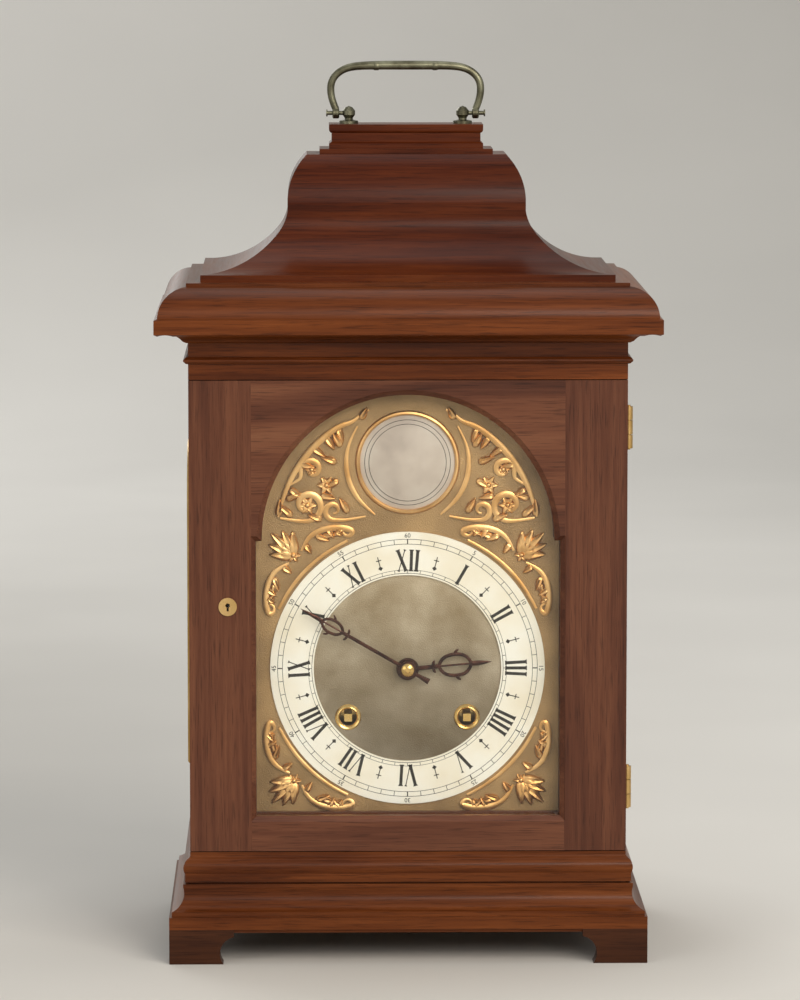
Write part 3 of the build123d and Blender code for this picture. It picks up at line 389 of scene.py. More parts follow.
# %% [markdown]
# ### Brass, in its several states
# Polished brass in the movement, satin lacquered brass on the case, gilt castings on the
# dial, and the dark, handled brass of the carrying handle. They differ in colour and in
# how fine the scratches are, so one function takes both.

# %% The metals
def worked_metal(name, light, dark, rough, grain=900.0, blotch=60.0, bump=0.05):
    """A metal with fine handling marks and a slow change of tone."""
    mat = new_material(name)
    fine = noise(mat, here(mat), grain, 3.0)
    body = ramp(mat, noise(mat, here(mat), blotch, 4.0), ((0.35, dark), (0.65, light)))
    gloss = spread(mat, fine, rough, rough + 0.12)
    return shade(mat, Base_Color=body, Roughness=gloss, Metallic=1.0, Normal=bumps(mat, fine, bump, 0.0002))


brass_bright = worked_metal("brass_polished", "ecc987", "d8ae64", 0.16)
brass_case = worked_metal("brass_lacquered_satin", "d2b078", "b38f52", 0.3)
brass_aged = worked_metal("brass_aged_dark", "7b7a66", "545141", 0.34, blotch=120.0)
brass_gilt = worked_metal("brass_fire_gilt", "f0c184", "cf9a5c", 0.32, grain=1600.0, bump=0.12)
steel_bright = worked_metal("steel_polished", "c3c6ca", "a4a8ae", 0.2)
steel_blued = worked_metal("steel_heat_blued", "54342a", "2c1c1a", 0.28, blotch=200.0)
bell_metal = worked_metal("bronze_bell_turned", "dfc08a", "c29c66", 0.2, blotch=30.0)
print("metals ready")

# %% [markdown]
# ### Silvered brass and the matted dial centre
# A chapter ring is brass rubbed with silver chloride and lacquered: nearly white, soft,
# with a faint circular grain. The centre of the dial is matted, that is, rolled with a
# small spiked wheel until it is covered with fine pits that catch no highlight.

# %% Silvering and matting
def ring_grain(mat, centre):
    """Distance from the middle of a disc, for marks that follow the lathe."""
    local = axes_of(mat, mapped(mat, here(mat), Location=tuple(-v for v in centre)))
    flat = vector(mat, local[0], local[2])
    return node(mat, "VectorMath", {0: flat}, operation="LENGTH").outputs["Value"]


def silvered(name, centre, dull, clean, bright):
    mat = new_material(name)
    round_about = {"W": math_node(mat, "MULTIPLY", ring_grain(mat, centre), 2500.0), "Scale": 1.0}
    groove = node(mat, "TexNoise", round_about, noise_dimensions="1D").outputs[0]
    tone = noise(mat, here(mat), 45.0, 5.0)
    body = ramp(mat, tone, ((0.3, dull), (0.5, clean), (0.7, bright)))
    return shade(mat, Base_Color=body, Roughness=0.5, Metallic=0.0, Specular_IOR_Level=0.7,
                 Normal=bumps(mat, groove, 0.08, 0.0001))


silver_ring = silvered("brass_silvered_ring", DIAL, "f6ecd8", "fdf6e8", "fffcf4")
silver_boss = silvered("brass_silvered_boss", BOSS, "b3a49a", "c6b8ad", "d3c9bf")

RING_INNER = 54.0 * MM
CENTRE_LOW, CENTRE_HIGH = 115.0 * MM, 215.0 * MM


def matted_plate():
    """Matted and darker low down inside the ring (painted reflection), smooth lacquered brass outside it."""
    mat = new_material("brass_matted_dial_centre")
    place = here(mat)
    inside = math_node(mat, "LESS_THAN", ring_grain(mat, DIAL), RING_INNER)
    pits = node(mat, "TexVoronoi", {"Vector": place, "Scale": 1500.0}).outputs["Distance"]
    tone = noise(mat, place, 40.0, 5.0)
    centre = ramp(mat, tone, ((0.3, "8a785c"), (0.5, "a2927a"), (0.7, "baab95")))
    # Painted reflection: the matted centre is lighter towards the top and darker low down.
    painted_reflection_fade = spread(mat, axes_of(mat, place)[2], 0.52, 1.22, CENTRE_LOW, CENTRE_HIGH)
    centre = node(mat, "VectorMath", {0: centre, "Scale": painted_reflection_fade}, operation="SCALE").outputs[0]
    outer = ramp(mat, tone, ((0.3, "8d6f48"), (0.7, "b39062")))
    both = {"Factor": inside, "A": outer, "B": centre}
    body = node(mat, "Mix", both, data_type="RGBA").outputs[2]
    rough = spread(mat, inside, 0.38, 0.52)
    return shade(mat, Base_Color=body, Roughness=rough, Metallic=0.5, Normal=bumps(mat, pits, 0.5, 0.0003))


dial_metal = matted_plate()
print("dial finishes ready")

# %% [markdown]
# ### Wax and glass
# Numerals are cut into the ring and filled with black shellac wax. The panes are old thin
# glass, a little uneven. A pane only two millimetres thick hardly bends what is behind
# it, so it is a clear film with a mirror share that grows towards the edges of sight.

# %% Wax and glass
def wax():
    mat = new_material("wax_black_shellac_and_painted_shade")
    body = ramp(mat, noise(mat, here(mat), 700.0, 3.0), ((0.35, "16130f"), (0.65, "2b251d")))
    return shade(mat, Base_Color=body, Roughness=0.38, IOR=1.5)


def clear_glass():
    """A pane that lamps shine through: it mirrors a little at its outer faces only."""
    mat = new_material("glass_old_window")
    uneven = bumps(mat, noise(mat, here(mat), 14.0, 1.0), 0.03, 0.001)
    fresnel = node(mat, "Fresnel", {"IOR": 1.45}).outputs[0]
    outer = math_node(mat, "SUBTRACT", 1.0, node(mat, "NewGeometry").outputs["Backfacing"])
    share = math_node(mat, "MULTIPLY", fresnel, outer)
    mirror = {"Color": (1, 1, 1, 1), "Roughness": 0.02, "Normal": uneven}
    gloss = node(mat, "BsdfGlossy", mirror).outputs[0]
    through = node(mat, "BsdfTransparent", {"Color": colour("fdfefd")}).outputs[0]
    both = node(mat, "MixShader", {0: share, 1: through, 2: gloss}).outputs[0]
    node(mat, "OutputMaterial", {"Surface": both})
    return mat


# The same black wax also serves as painted shade in the oil sinks of the back plate.
wax_and_painted_shade = wax()
glass = clear_glass()
print("wax and glass ready")

# %% [markdown]
# ## The nodes keep their shape and get their finish
# Each node gets the finish of the real piece, and those that aren't named are polished
# brass. A node's material slots may be changed; its mesh may not.

# %% Finishes for the nodes
BY_FINISH = (
    (wood_upright, "left_side right_side"),
    (wood_mitred, "frieze cornice"),
    (wood_base, "base_moulding"),
    (wood_foot, "bracket_feet"),
    (wood_top, "bell_top top_pad"),
    (wood_door, "front_door_frame back_door_frame dial_mask"),
    (wood_board, "case_floor seat_board"),
    (glass, "side_windows front_door_glass back_door_glass"),
    (brass_case, "case_hinges_front case_hinges_back front_door_hinges back_door_hinges"),
    (brass_case, "side_window_beads front_door_lock key_escutcheon back_door_catch"),
    (brass_aged, "handle_pommels carrying_handle"),
    (brass_gilt, "dial_spandrels"),
    (dial_metal, "dial_plate"),
    (silver_ring, "chapter_ring"),
    (silver_boss, "arch_boss"),
    (steel_blued, "hour_hand minute_hand"),
    (steel_bright, "lock_bolt cannon_pinion barrel_arbors pallets pendulum_rod"),
    (steel_bright, "bell_stand hammer fusee_chains"),
    (bell_metal, "bell"),
)
FINISH = {name: finish for finish, names in BY_FINISH for name in names.split()}
for name, obj in nodes.items():
    obj.data.materials.clear()
    obj.data.materials.append(FINISH.get(name, brass_bright))
    smooth(obj, 30)
print("finished", len(nodes), "nodes,", len(FINISH), "by name")

# %% [markdown]
# ## The chapter ring
# Roman hours read from the centre, with thick and thin strokes and serifs; a minute track
# of sixty divisions between two lines; small arabic figures every five minutes outside
# it; and quarter-hour marks at the inner edge. Every mark is a thin plate, some with their
# ends flared, made once and copied round the ring, as an engraver repeats a few cuts.

# %% One engraved stroke
WAX_HIGH = 0.12 * MM
SERIF_ROOT, SERIF_TIP = 0.42, 0.46


def stroke(width, length, serif=0.0):
    """A flat plate at the origin, its two ends widened by the serif."""
    clear()
    bpy.ops.mesh.primitive_cube_add(size=1)
    bar = bpy.context.object
    bar.scale = (width, WAX_HIGH, length)
    settle(bar)
    if serif:
        for end in (SERIF_ROOT, -SERIF_ROOT):
            edit_all()
            bpy.ops.mesh.bisect(plane_co=(0, 0, length * end), plane_no=(0, 0, 1))
            close_edit()
        for vert in bar.data.vertices:
            if abs(vert.co.z) > length * SERIF_TIP:
                vert.co.x += math.copysign(serif, vert.co.x)
    return bar


def on_ring(radius, degrees, turn=0.0):
    """The matrix that takes a mark from the origin to its place on the ring face."""
    face = Matrix.Translation((0, RING_FACE - WAX_HIGH / 2, DIAL.z))
    out = Matrix.Translation((0, 0, radius))
    return face @ about_y(degrees) @ out @ about_y(turn)


print("stroke height", WAX_HIGH)

# %% [markdown]
# A numeral is a row of I, V and X strokes. On a ring they stand with their feet towards
# the centre, thick strokes about four times the thin ones, and IIII is used for four, as
# clockmakers do, so that it balances VIII.

# %% The Roman hours
NUMERALS = ("XII", "I", "II", "III", "IIII", "V", "VI", "VII", "VIII", "IX", "X", "XI")
TALL = 12.5 * MM
THICK = 1.75 * MM
THIN = 0.5 * MM
LETTER_WIDE = {"I": 3.3 * MM, "V": 7.2 * MM, "X": 7.6 * MM}
LEAN = {"V": 13.0, "X": 19.0}
HOUR_RADIUS = 62.5 * MM


def letter(kind):
    """One letter at the origin, its head up and its foot towards the dial centre."""
    if kind == "I":
        return stroke(THICK, TALL, 0.55 * MM)
    lean = LEAN[kind]
    long = TALL / math.cos(math.radians(lean))
    shift = TALL / 2 * math.tan(math.radians(lean)) if kind == "V" else 0.0
    pair = []
    for side, wide, serif in ((-1, THICK, 0.5), (1, THIN, 0.6)):
        bar = stroke(wide, long, serif * MM)
        bar.data.transform(Matrix.Translation((side * shift, 0, 0)) @ about_y(side * lean))
        pair.append(bar)
    return join(pair)


places = {kind: [] for kind in LETTER_WIDE}
for hour, text in enumerate(NUMERALS):
    along = -sum(LETTER_WIDE[kind] for kind in text) / 2
    for kind in text:
        along += LETTER_WIDE[kind] / 2
        degrees = hour * 30 + math.degrees(along / HOUR_RADIUS)
        places[kind].append(on_ring(HOUR_RADIUS, degrees))
        along += LETTER_WIDE[kind] / 2
marks = []
for kind, spots in places.items():
    marks += copies(letter(kind), spots)
print("hour letters", len(marks))

# %% [markdown]
# The tracks: two thin lines with sixty divisions between them, a line and 48 quarter-hour
# marks at the inner edge, and a diamond on a small cross at each half hour. A circle line
# is a circle extruded outwards into a flat band, which is then given its thickness.

# %% Tracks and divisions
LINE_POINTS = 192
TRACK_LINES = ((71.8, 0.28), (74.6, 0.28), (54.9, 0.3), (56.9, 0.22))


def circle_line(radius, width, centre=(0, RING_FACE, DIAL.z)):
    clear()
    bpy.ops.mesh.primitive_circle_add(vertices=LINE_POINTS, radius=radius, rotation=(QUARTER, 0, 0),
                                      location=centre)
    ring = settle(bpy.context.object)
    edit_all()
    bpy.ops.mesh.extrude_region_move(TRANSFORM_OT_translate={"value": (0, 0, 0)})
    close_edit()
    share = (radius + width) / radius
    for vert in ring.data.vertices[LINE_POINTS:]:
        vert.co.x *= share
        vert.co.z = centre[2] + (vert.co.z - centre[2]) * share
    use(ring, "SOLIDIFY", thickness=WAX_HIGH, offset=0.0)
    return outward(ring)


def marked(width, length, radius, angles, turn=0.0):
    """One stroke copied round the ring at each angle, its sizes in millimetres."""
    spots = [on_ring(radius * MM, angle, turn) for angle in angles]
    return copies(stroke(width * MM, length * MM), spots)


for radius, width in TRACK_LINES:
    marks.append(circle_line(radius * MM, width * MM))
minutes = range(0, 360, 6)
halves = range(15, 360, 30)
marks += marked(0.62, 2.9, 73.3, minutes[::5])
marks += marked(0.3, 2.9, 73.3, [angle for angle in minutes if angle % 30])
marks += marked(0.26, 2.0, 56.0, [quarter * 7.5 for quarter in range(48)])
marks += marked(1.9, 1.9, 59.8, halves, turn=45)
marks += marked(0.5, 6.0, 63.6, halves)
marks += marked(3.0, 0.5, 64.4, halves)
print("track marks", len(marks))

# %% [markdown]
# Every five minutes has its figure outside the track. They are ordinary type, made into a
# mesh, because small engraved figures look much the same.

# %% Minute figures
def figure(text, size):
    clear()
    bpy.ops.object.text_add(rotation=(QUARTER, 0, 0))
    obj = bpy.context.object
    obj.data.body = text
    obj.data.size = size
    obj.data.align_x = "CENTER"
    obj.data.align_y = "CENTER"
    obj.data.extrude = WAX_HIGH / 2
    obj.data.resolution_u = 3
    bpy.ops.object.convert(target="MESH")
    return settle(bpy.context.object)


for step in range(1, 13):
    marks += copies(figure(str(step * 5), 3.6 * MM), [on_ring(76.8 * MM, step * 30)])
finish_piece(join(marks), "chapter_ring_engraving", "case", wax_and_painted_shade)

# %% [markdown]
# ## Turned work
# Bells, bobs, studs and collets all come off a lathe: one outline turned about an axis.
# In Blender that is a single vertex, extruded from point to point along the outline, and
# then spun through a full turn. Outlines below are (radius, height) pairs in millimetres.

# %% Turned pieces
FACING = {
    "up": Matrix(),
    "front": Matrix.Rotation(QUARTER, 4, "X"),
    "back": Matrix.Rotation(-QUARTER, 4, "X"),
    "right": Matrix.Rotation(QUARTER, 4, "Y"),
}


def turned(outline, place, facing="up", steps=48):
    """Spins an outline about its axis, turns it to face a way, and sets it at a place."""
    clear()
    bpy.ops.mesh.primitive_plane_add(size=0.001)
    obj = bpy.context.object
    bpy.ops.object.mode_set(mode="EDIT")
    bpy.ops.mesh.select_mode(type="VERT")
    bpy.ops.mesh.select_all(action="SELECT")
    bpy.ops.mesh.merge(type="CENTER")
    last = Vector(mm(outline[0][0], 0, outline[0][1]))
    bpy.ops.transform.translate(value=last)
    for radius, high in outline[1:]:
        spot = Vector(mm(radius, 0, high))
        bpy.ops.mesh.extrude_region_move(TRANSFORM_OT_translate={"value": spot - last})
        last = spot
    bpy.ops.mesh.select_all(action="SELECT")
    bpy.ops.mesh.spin(steps=steps, angle=math.tau, center=(0, 0, 0), axis=(0, 0, 1))
    close_edit()
    obj.data.transform(FACING[facing])
    return outward(move(obj, *place))


def on_circle(radius, angles, up=0.0):
    """Points on a circle at angles in degrees: how far across, and how far up."""
    turns = [math.radians(angle) for angle in angles]
    return [(radius * math.cos(turn), up + radius * math.sin(turn)) for turn in turns]


def arc(radius, low, high, count):
    """Evenly spaced points along part of a circle, for domes."""
    return on_circle(radius, [low + (high - low) * k / (count - 1) for k in range(count)])


print("lathe ready")

# %% [markdown]
# The bell of the strike is a thin hemisphere of bell metal with a thickened lip. The
# solid has flat bands to stay light, so the turned piece stands in for it.

# %% The turned bell and its nut
GONG = (0, -8.0, 281.5)
BELL_OUTER, BELL_INNER = 37.9, 35.4
lip = [(38.0, 0), (38.0, -2.6), (37.6, -4.0), (36.2, -4.0), (35.6, -2.4), (BELL_INNER, 0)]
bell_outline = arc(BELL_OUTER, 86, 4, 26) + lip + arc(BELL_INNER, 4, 86, 26)
bell_outline.append(bell_outline[0])
bell = turned(bell_outline, GONG, steps=96)
smooth(bell, 40)
finish_piece(bell, "turned_bell", "case", bell_metal, replaces=("bell",))
nut_outline = ((0, 43.6), (2.2, 43.4), (4.6, 42.4), (5.2, 41.0), (5.2, 38.6), (3.0, 38.0), (0, 38.0))
nut = smooth(turned(nut_outline, GONG, steps=32), 40)
finish_piece(nut, "bell_nut_dome", "case", steel_bright)

# %% [markdown]
# The pendulum bob is a brass lens over a lead core, turned with a fine groove near its
# edge. It hangs on the rod behind the back plate, so it shows through the back door.

# %% The pendulum bob
BOB = (0, 34.0, 77.0)
half_lens = [(0, 5.2), (5.0, 5.0), (9.0, 4.4), (12.6, 3.4), (13.0, 3.0), (13.4, 3.15)]
half_lens += [(16.0, 1.7), (17.6, 0.7), (18.0, 0.0)]
lens_outline = half_lens + [(radius, -high) for radius, high in reversed(half_lens[:-1])]
bob = smooth(turned(lens_outline, BOB, "back", steps=72), 25)
rating_outline = [(1.3, -23.0), (3.2, -23.0), (3.6, -22.4), (3.6, -20.6), (3.2, -20.0), (1.3, -20.0)]
rating = smooth(turned(rating_outline + rating_outline[:1], BOB, steps=24), 25)
finish_piece(join([bob, rating]), "pendulum_bob_turned", "pendulum", brass_bright,
             replaces=("pendulum_bob",))

# %% [markdown]
# ## Cast scrollwork
# The spandrels are brass castings of leafy scrolls, chased and gilt, that fill the corners
# outside the chapter ring and the space either side of the boss. A scroll is a tapered bar
# that follows a curve, and a leaf is a rounded teardrop with a valley down its middle.

# %% Scrolls and leaves
def bent_bar(points, radii, thick, flat=1.0, order=3, steps=3, sides=1):
    """A round bar through (x, z) points in millimetres, flattened towards the dial."""
    clear()
    bpy.ops.curve.primitive_nurbs_path_add()
    obj = bpy.context.object
    obj.data.splines.clear()
    line = obj.data.splines.new("NURBS")
    line.points.add(len(points) - 1)
    for point, (x, z), radius in zip(line.points, points, radii):
        point.co = (*mm(x, 0, z), 1.0)
        point.radius = radius
    line.order_u = order
    line.use_endpoint_u = True
    line.resolution_u = steps
    obj.data.bevel_depth = thick * MM
    obj.data.bevel_resolution = sides
    obj.data.use_fill_caps = True
    obj.scale.y = flat
    bpy.ops.object.convert(target="MESH")
    return settle(bpy.context.object)


def scroll(points, thick, ends=(0.35, 0.35), flat=0.7, sides=1):
    """A bar that swells in the middle and narrows to the shares given for its ends."""
    radii = []
    for n in range(len(points)):
        share = n / (len(points) - 1)
        middle = max(math.sin(math.pi * min(1.0, share * 1.15)), 0.0)
        edge = ends[0] + (ends[1] - ends[0]) * share
        radii.append(edge + (1.0 - edge) * middle)
    return bent_bar(points, radii, thick, flat, sides=sides)


def volute(x, z, outer, inner, start, sweep, count=10):
    """Points of a spiral about a centre: radii and angles from the outside in."""
    spots = []
    for n in range(count):
        share = n / (count - 1)
        reach = outer + (inner - outer) * share
        angle = math.radians(start + sweep * share)
        spots.append((x + reach * math.cos(angle), z + reach * math.sin(angle)))
    return spots


def leaf(x, z, degrees, long, wide, high=1.3):
    """A leaf whose base is at (x, z) and whose tip points along the angle."""
    clear()
    bpy.ops.mesh.primitive_uv_sphere_add(segments=12, ring_count=8, radius=1.0)
    obj = bpy.context.object
    for vert in obj.data.vertices:
        share = (vert.co.z + 1) / 2
        across = vert.co.x * (1.15 - 0.75 * share)
        valley = 1.0 - 0.45 * math.exp(-(vert.co.x * 5) ** 2)
        vert.co.x = across * wide / 2 * MM
        vert.co.y *= high * valley * MM
        vert.co.z = share * long * MM
    obj.data.transform(about_y(90 - degrees))
    return move(obj, x, 0, z)


def flower(x, z, radius, petals=6):
    """A rosette: a ring of short leaves round a bead."""
    turns = [at(x, 0, z) @ about_y(90 - n * 360 / petals) for n in range(petals)]
    parts = copies(leaf(0, 0, 90, radius, radius * 0.8, 1.0), turns)
    bead = turned(((0, 1.9), (0.9, 1.7), (1.5, 0.9), (1.7, 0), (0, 0)), (x, 0, z), "front", steps=12)
    return parts + [bead]


print("scroll with", len(volute(0, 0, 5, 1, 0, 360)), "points")

# %% [markdown]
# One corner is modelled on its own, with the dial centre as the origin: a fan of leaves in
# the outer corner, a long scroll down each side that curls in at its end, and a rim that
# follows the ring. The other three corners are its mirror images.

# %% One corner casting
def corner_casting():
    """The upper right corner, mirrored about its diagonal."""
    parts = []
    for degrees, long in ((2, 14.0), (24, 16.0), (45, 18.5), (66, 16.0), (88, 14.0)):
        parts.append(leaf(65.5, 65.5, degrees, long, 7.8, 1.9))
    parts += flower(65.5, 65.5, 4.4)
    side = [(68, 61), (75, 58), (80, 51), (81.6, 43), (81.4, 36), (79.6, 31.0)]
    side += [(76.8, 32.6), (76.6, 36.4), (79.2, 37.4)]
    spots = [(77, 53, 250, 9), (81, 46, 215, 7), (81.5, 37, 130, 8)]
    spots += [(72, 59, 215, 7), (80, 41, 225, 5), (76, 49, 285, 7)]
    for turned_over in (False, True):
        parts.append(scroll([(z, x) for x, z in side] if turned_over else side, 2.1))
        for x, z, degrees, long in spots:
            place = (z, x, 90 - degrees) if turned_over else (x, z, degrees)
            parts.append(leaf(*place, long, 5.0, 1.7))
    parts.append(scroll(on_circle(81.6, range(25, 68, 5)), 1.2, ends=(0.8, 0.8)))
    return join(parts)


SPANDREL_FACE = -60.1 * MM
mirrors = [Matrix.Diagonal((across, 1, up, 1)) for across in (1, -1) for up in (1, -1)]
on_plate = Matrix.Translation((0, SPANDREL_FACE, DIAL.z))
castings = copies(corner_casting(), [on_plate @ mirror for mirror in mirrors])
print("corner castings", len(castings))

# %% [markdown]
# The arch pieces follow the curve of the arch on the outside and of the boss on the
# inside, with a large volute between them. Their origin is the centre of the arch.

# %% The two arch castings
def arch_casting():
    """The right wing, from the foot of the arch up to its crown."""
    rim = on_circle(75.2, (9, 17, 26, 35, 44, 52, 59)) + [(31, 66.5), (26.5, 71.5), (22, 73.5)]
    about_boss = on_circle(35.5, (-58, -42, -26, -10, 6, 22, 36), 43.1)
    parts = [scroll(rim, 2.3), scroll(about_boss, 1.7)]
    low = [(73, 11), (64, 9.5)] + volute(57.5, 18.5, 9.5, 2.6, 270, -420, 14)
    high = [(68, 30), (62, 33)] + volute(55.0, 39.0, 7.0, 2.0, 330, 400, 12)
    inner = [(24, 12), (34, 10)] + volute(42.5, 15.5, 6.0, 1.8, 250, 380, 12)
    parts += [scroll(low, 2.2), scroll(high, 1.9), scroll(inner, 1.8)]
    for x, z, radius in ((57.5, 18.5, 5.6), (46.5, 30.0, 5.6), (55.0, 39.0, 4.0)):
        parts += flower(x, z, radius)
    spots = [(66, 12, 40, 10), (70, 22, 160, 9), (68, 28, 215, 8), (62, 42, 190, 8), (55, 52, 215, 9)]
    spots += [(47, 58, 235, 8), (40, 63, 250, 8), (38, 52, 60, 9), (40.5, 43, 20, 9), (39.5, 33, 330, 8)]
    spots += [(50, 24, 190, 8), (34, 14, 60, 9), (27, 68, 120, 7), (74, 12, 95, 9), (49, 10, 20, 8)]
    parts += [leaf(x, z, degrees, long * 1.15, 5.4, 1.8) for x, z, degrees, long in spots]
    return join(parts)


in_arch = Matrix.Translation((0, SPANDREL_FACE, ARCH_Z))
mirrors = [Matrix.Diagonal((across, 1, 1, 1)) for across in (1, -1)]
wings = copies(arch_casting(), [in_arch @ mirror for mirror in mirrors])
spandrels = outward(join(castings + wings))
smooth(spandrels, 45)
finish_piece(spandrels, "cast_leaf_spandrels", "case", brass_gilt,
             replaces=("dial_spandrels",))

# %% [markdown]
# ## The boss and the winding holes
# The silvered boss is left plain, with a turned brass rim and two engraved circles. Each
# winding hole has a small turned ring, which keeps the key from scratching the matting.

# %% Rim, circles and winding rings
rim_outline = ((27.2, 0), (29.6, 0), (29.9, 0.7), (29.2, 1.7), (28.2, 2.0), (27.4, 1.4), (27.2, 0))
rim = smooth(turned(rim_outline, (0, PLATE_Y, BOSS_Z), "front", steps=96), 30)
finish_piece(rim, "boss_rim", "case", brass_gilt)

BOSS_RADIUS, BOSS_RISE = 27.5, 5.0
BOSS_BALL = (BOSS_RADIUS ** 2 + BOSS_RISE ** 2) / (2 * BOSS_RISE)


def boss_face(radius):
    """The height of the dome's face at a radius, in metres."""
    rise = math.sqrt(BOSS_BALL ** 2 - radius ** 2) - (BOSS_BALL - BOSS_RISE)
    return (PLATE_Y - rise) * MM


circles = []
for radius in (22.0, 24.4):
    circles.append(circle_line(radius * MM, 0.3 * MM, (0, boss_face(radius), BOSS.z)))
finish_piece(join(circles), "boss_engraved_circles", "case", wax_and_painted_shade)

ring_outline = ((5.0, 0), (7.4, 0), (7.5, 0.5), (6.8, 1.1), (6.0, 0.8), (5.6, 1.0), (5.0, 0.6), (5.0, 0))
wind_ring = turned(ring_outline, (0, PLATE_Y, WINDING[1]), "front")
wind_rings = copies(wind_ring, [at(side * WINDING[0], 0, 0) for side in (-1, 1)])
finish_piece(smooth(join(wind_rings), 30), "winding_hole_rings", "case", brass_bright)

# %% [markdown]
# ## The hands
# Hands of this kind are sawn and filed from thin steel and then blued: a round boss, a
# slim stem, a pierced heart, and a point. The hour hand is short with a broad heart, and
# the minute hand reaches the minute track. Both are built upright, from flattened bars,
# and then turned to their hour about the dial centre.

# %% The pierced hands
def pierced(stem_foot, stem_top, heart_wide, heart_top, tip, thick):
    """The parts of one hand, pointing up from the origin, in millimetres."""
    middle = (stem_top + heart_top) / 2
    stem = [(0, stem_foot), (0, stem_top * 0.5), (0, stem_top + 1)]
    bars = [(stem, 1.0, (1.0, 1.0), 0.5)]
    for side in (-1, 1):
        wide = side * heart_wide
        loop = [(0, stem_top), (wide * 0.7, stem_top + 1.6), (wide, middle)]
        loop += [(wide * 0.75, heart_top - 2), (0, heart_top)]
        bud = [(wide * 0.9, middle), (wide + side * 1.6, middle + 0.8), (wide + side * 2.2, middle + 2.6)]
        knop = [(0, stem_top - 3), (side * 2.6, stem_top - 3.4), (side * 3.4, stem_top - 2.0)]
        bars += [(loop, 0.85, (0.9, 0.9), 0.6), (bud, 0.8, (0.8, 0.4), 0.6), (knop, 0.8, (0.9, 0.5), 0.6)]
    spine = [(0, stem_top), (0, middle), (0, heart_top)]
    point = [(0, heart_top - 0.5), (0, heart_top + (tip - heart_top) * 0.4), (0, tip)]
    bars += [(spine, 0.5, (0.9, 0.9), 0.8), (point, 1.5, (0.7, 0.06), 0.4)]
    return [scroll(line, thick * share, ends, flat, 2) for line, share, ends, flat in bars]


def set_hand(parts, hub, bore, degrees, y):
    """Adds the round boss, turns the hand to its hour and puts it at its height."""
    outline = ((bore, -0.5), (hub - 0.3, -0.5), (hub, 0), (hub - 0.3, 0.5), (bore, 0.5), (bore, -0.5))
    obj = join(parts + [turned(outline, (0, 0, 0), "front")])
    obj.data.transform(about_y(degrees))
    return smooth(outward(move(obj, 0, y, RING_Z)), 35)


tail = [scroll([(0, -3.8), (0, -9), (0, -14)], 1.1, ends=(0.9, 1.6), flat=0.5, sides=2)]
hour_parts = pierced(4.9, 18.0, 6.6, 37.0, 48.5, 1.25)
hour_hand = set_hand(hour_parts, 6.5, 4.08, 85.0, -63.9)
finish_piece(hour_hand, "hour_hand_pierced", "hour", steel_blued, replaces=("hour_hand",))
minute_parts = pierced(3.8, 43.0, 4.0, 57.0, 71.0, 1.05) + tail
minute_hand = set_hand(minute_parts, 5.0, 3.08, 300.0, -66.5)
finish_piece(minute_hand, "minute_hand_pierced", "minute", steel_blued,
             replaces=("minute_hand",))
dome_outline = ((1.6, 0), (3.8, 0), (3.8, 0.4), (3.0, 1.2), (1.6, 1.6), (1.6, 0))
dome = smooth(turned(dome_outline, (0, -68.5, RING_Z), "front", steps=32), 30)
finish_piece(dome, "hand_collet_dome", "minute", brass_bright)

# %% [markdown]
# ## The carrying handle
# The bail is a forged brass bar, a little thicker where the hand takes it, with a turned
# bead at each side of the grip and an eye at each end on the pin of its pommel. One
# smooth curve with a radius of its own at each point gives the bar.

# %% The smooth bail
HANDLE_Z = 483.0
PIN_X, BEAD_X = 40.5, 17.0
half_bail = [(PIN_X, 2.2, 0.95), (42.6, 7.0, 0.95), (44.0, 13.5, 1.0), (42.6, 20.5, 1.0)]
half_bail += [(36.5, 25.6, 1.0), (28.5, 27.4, 1.08), (14.0, 27.6, 1.2)]
whole_bail = half_bail + [(0.0, 27.6, 1.22)] + [(-x, z, r) for x, z, r in reversed(half_bail)]
bail_points = [(x, HANDLE_Z + z) for x, z, _ in whole_bail]
bail_radii = [radius for _, _, radius in whole_bail]
bail_parts = [bent_bar(bail_points, bail_radii, 2.2, order=4, steps=8, sides=5)]
eye = ((1.3, -2.0), (2.6, -2.0), (3.2, -1.4), (3.2, 1.4), (2.6, 2.0), (1.3, 2.0), (1.3, -2.0))
bead = ((0, -1.6), (2.5, -1.6), (2.72, -0.8), (2.72, 0.8), (2.5, 1.6), (0, 1.6))
for outline, x, z, steps in ((eye, PIN_X, 0, 28), (bead, BEAD_X, 27.35, 24)):
    ring = turned(outline, (0, 0, HANDLE_Z + z), "right", steps=steps)
    bail_parts += copies(ring, [at(side * x, 0, 0) for side in (-1, 1)])
bail = smooth(outward(join(bail_parts)), 40)
finish_piece(bail, "handle_bail", "handle", brass_aged, replaces=("carrying_handle",))

# %% [markdown]
# ## The movement, seen through the back door and the side windows
# Makers of these clocks were proud of the back plate and engraved it all over with leafy
# scrolls inside a line border. The lines are cut with a graver and darken with age, so
# they are very thin raised threads of dark wax here, drawn as mirrored volutes.

# %% The engraved back plate
PLATE_BACK = 25.02
PLATE_MIDDLE = 168.5
PLATE_HALF_WIDE, PLATE_HALF_TALL = 75.0, 89.0


def engraved(points, thick=0.26):
    return scroll(points, thick, ends=(0.4, 0.4), flat=0.3)


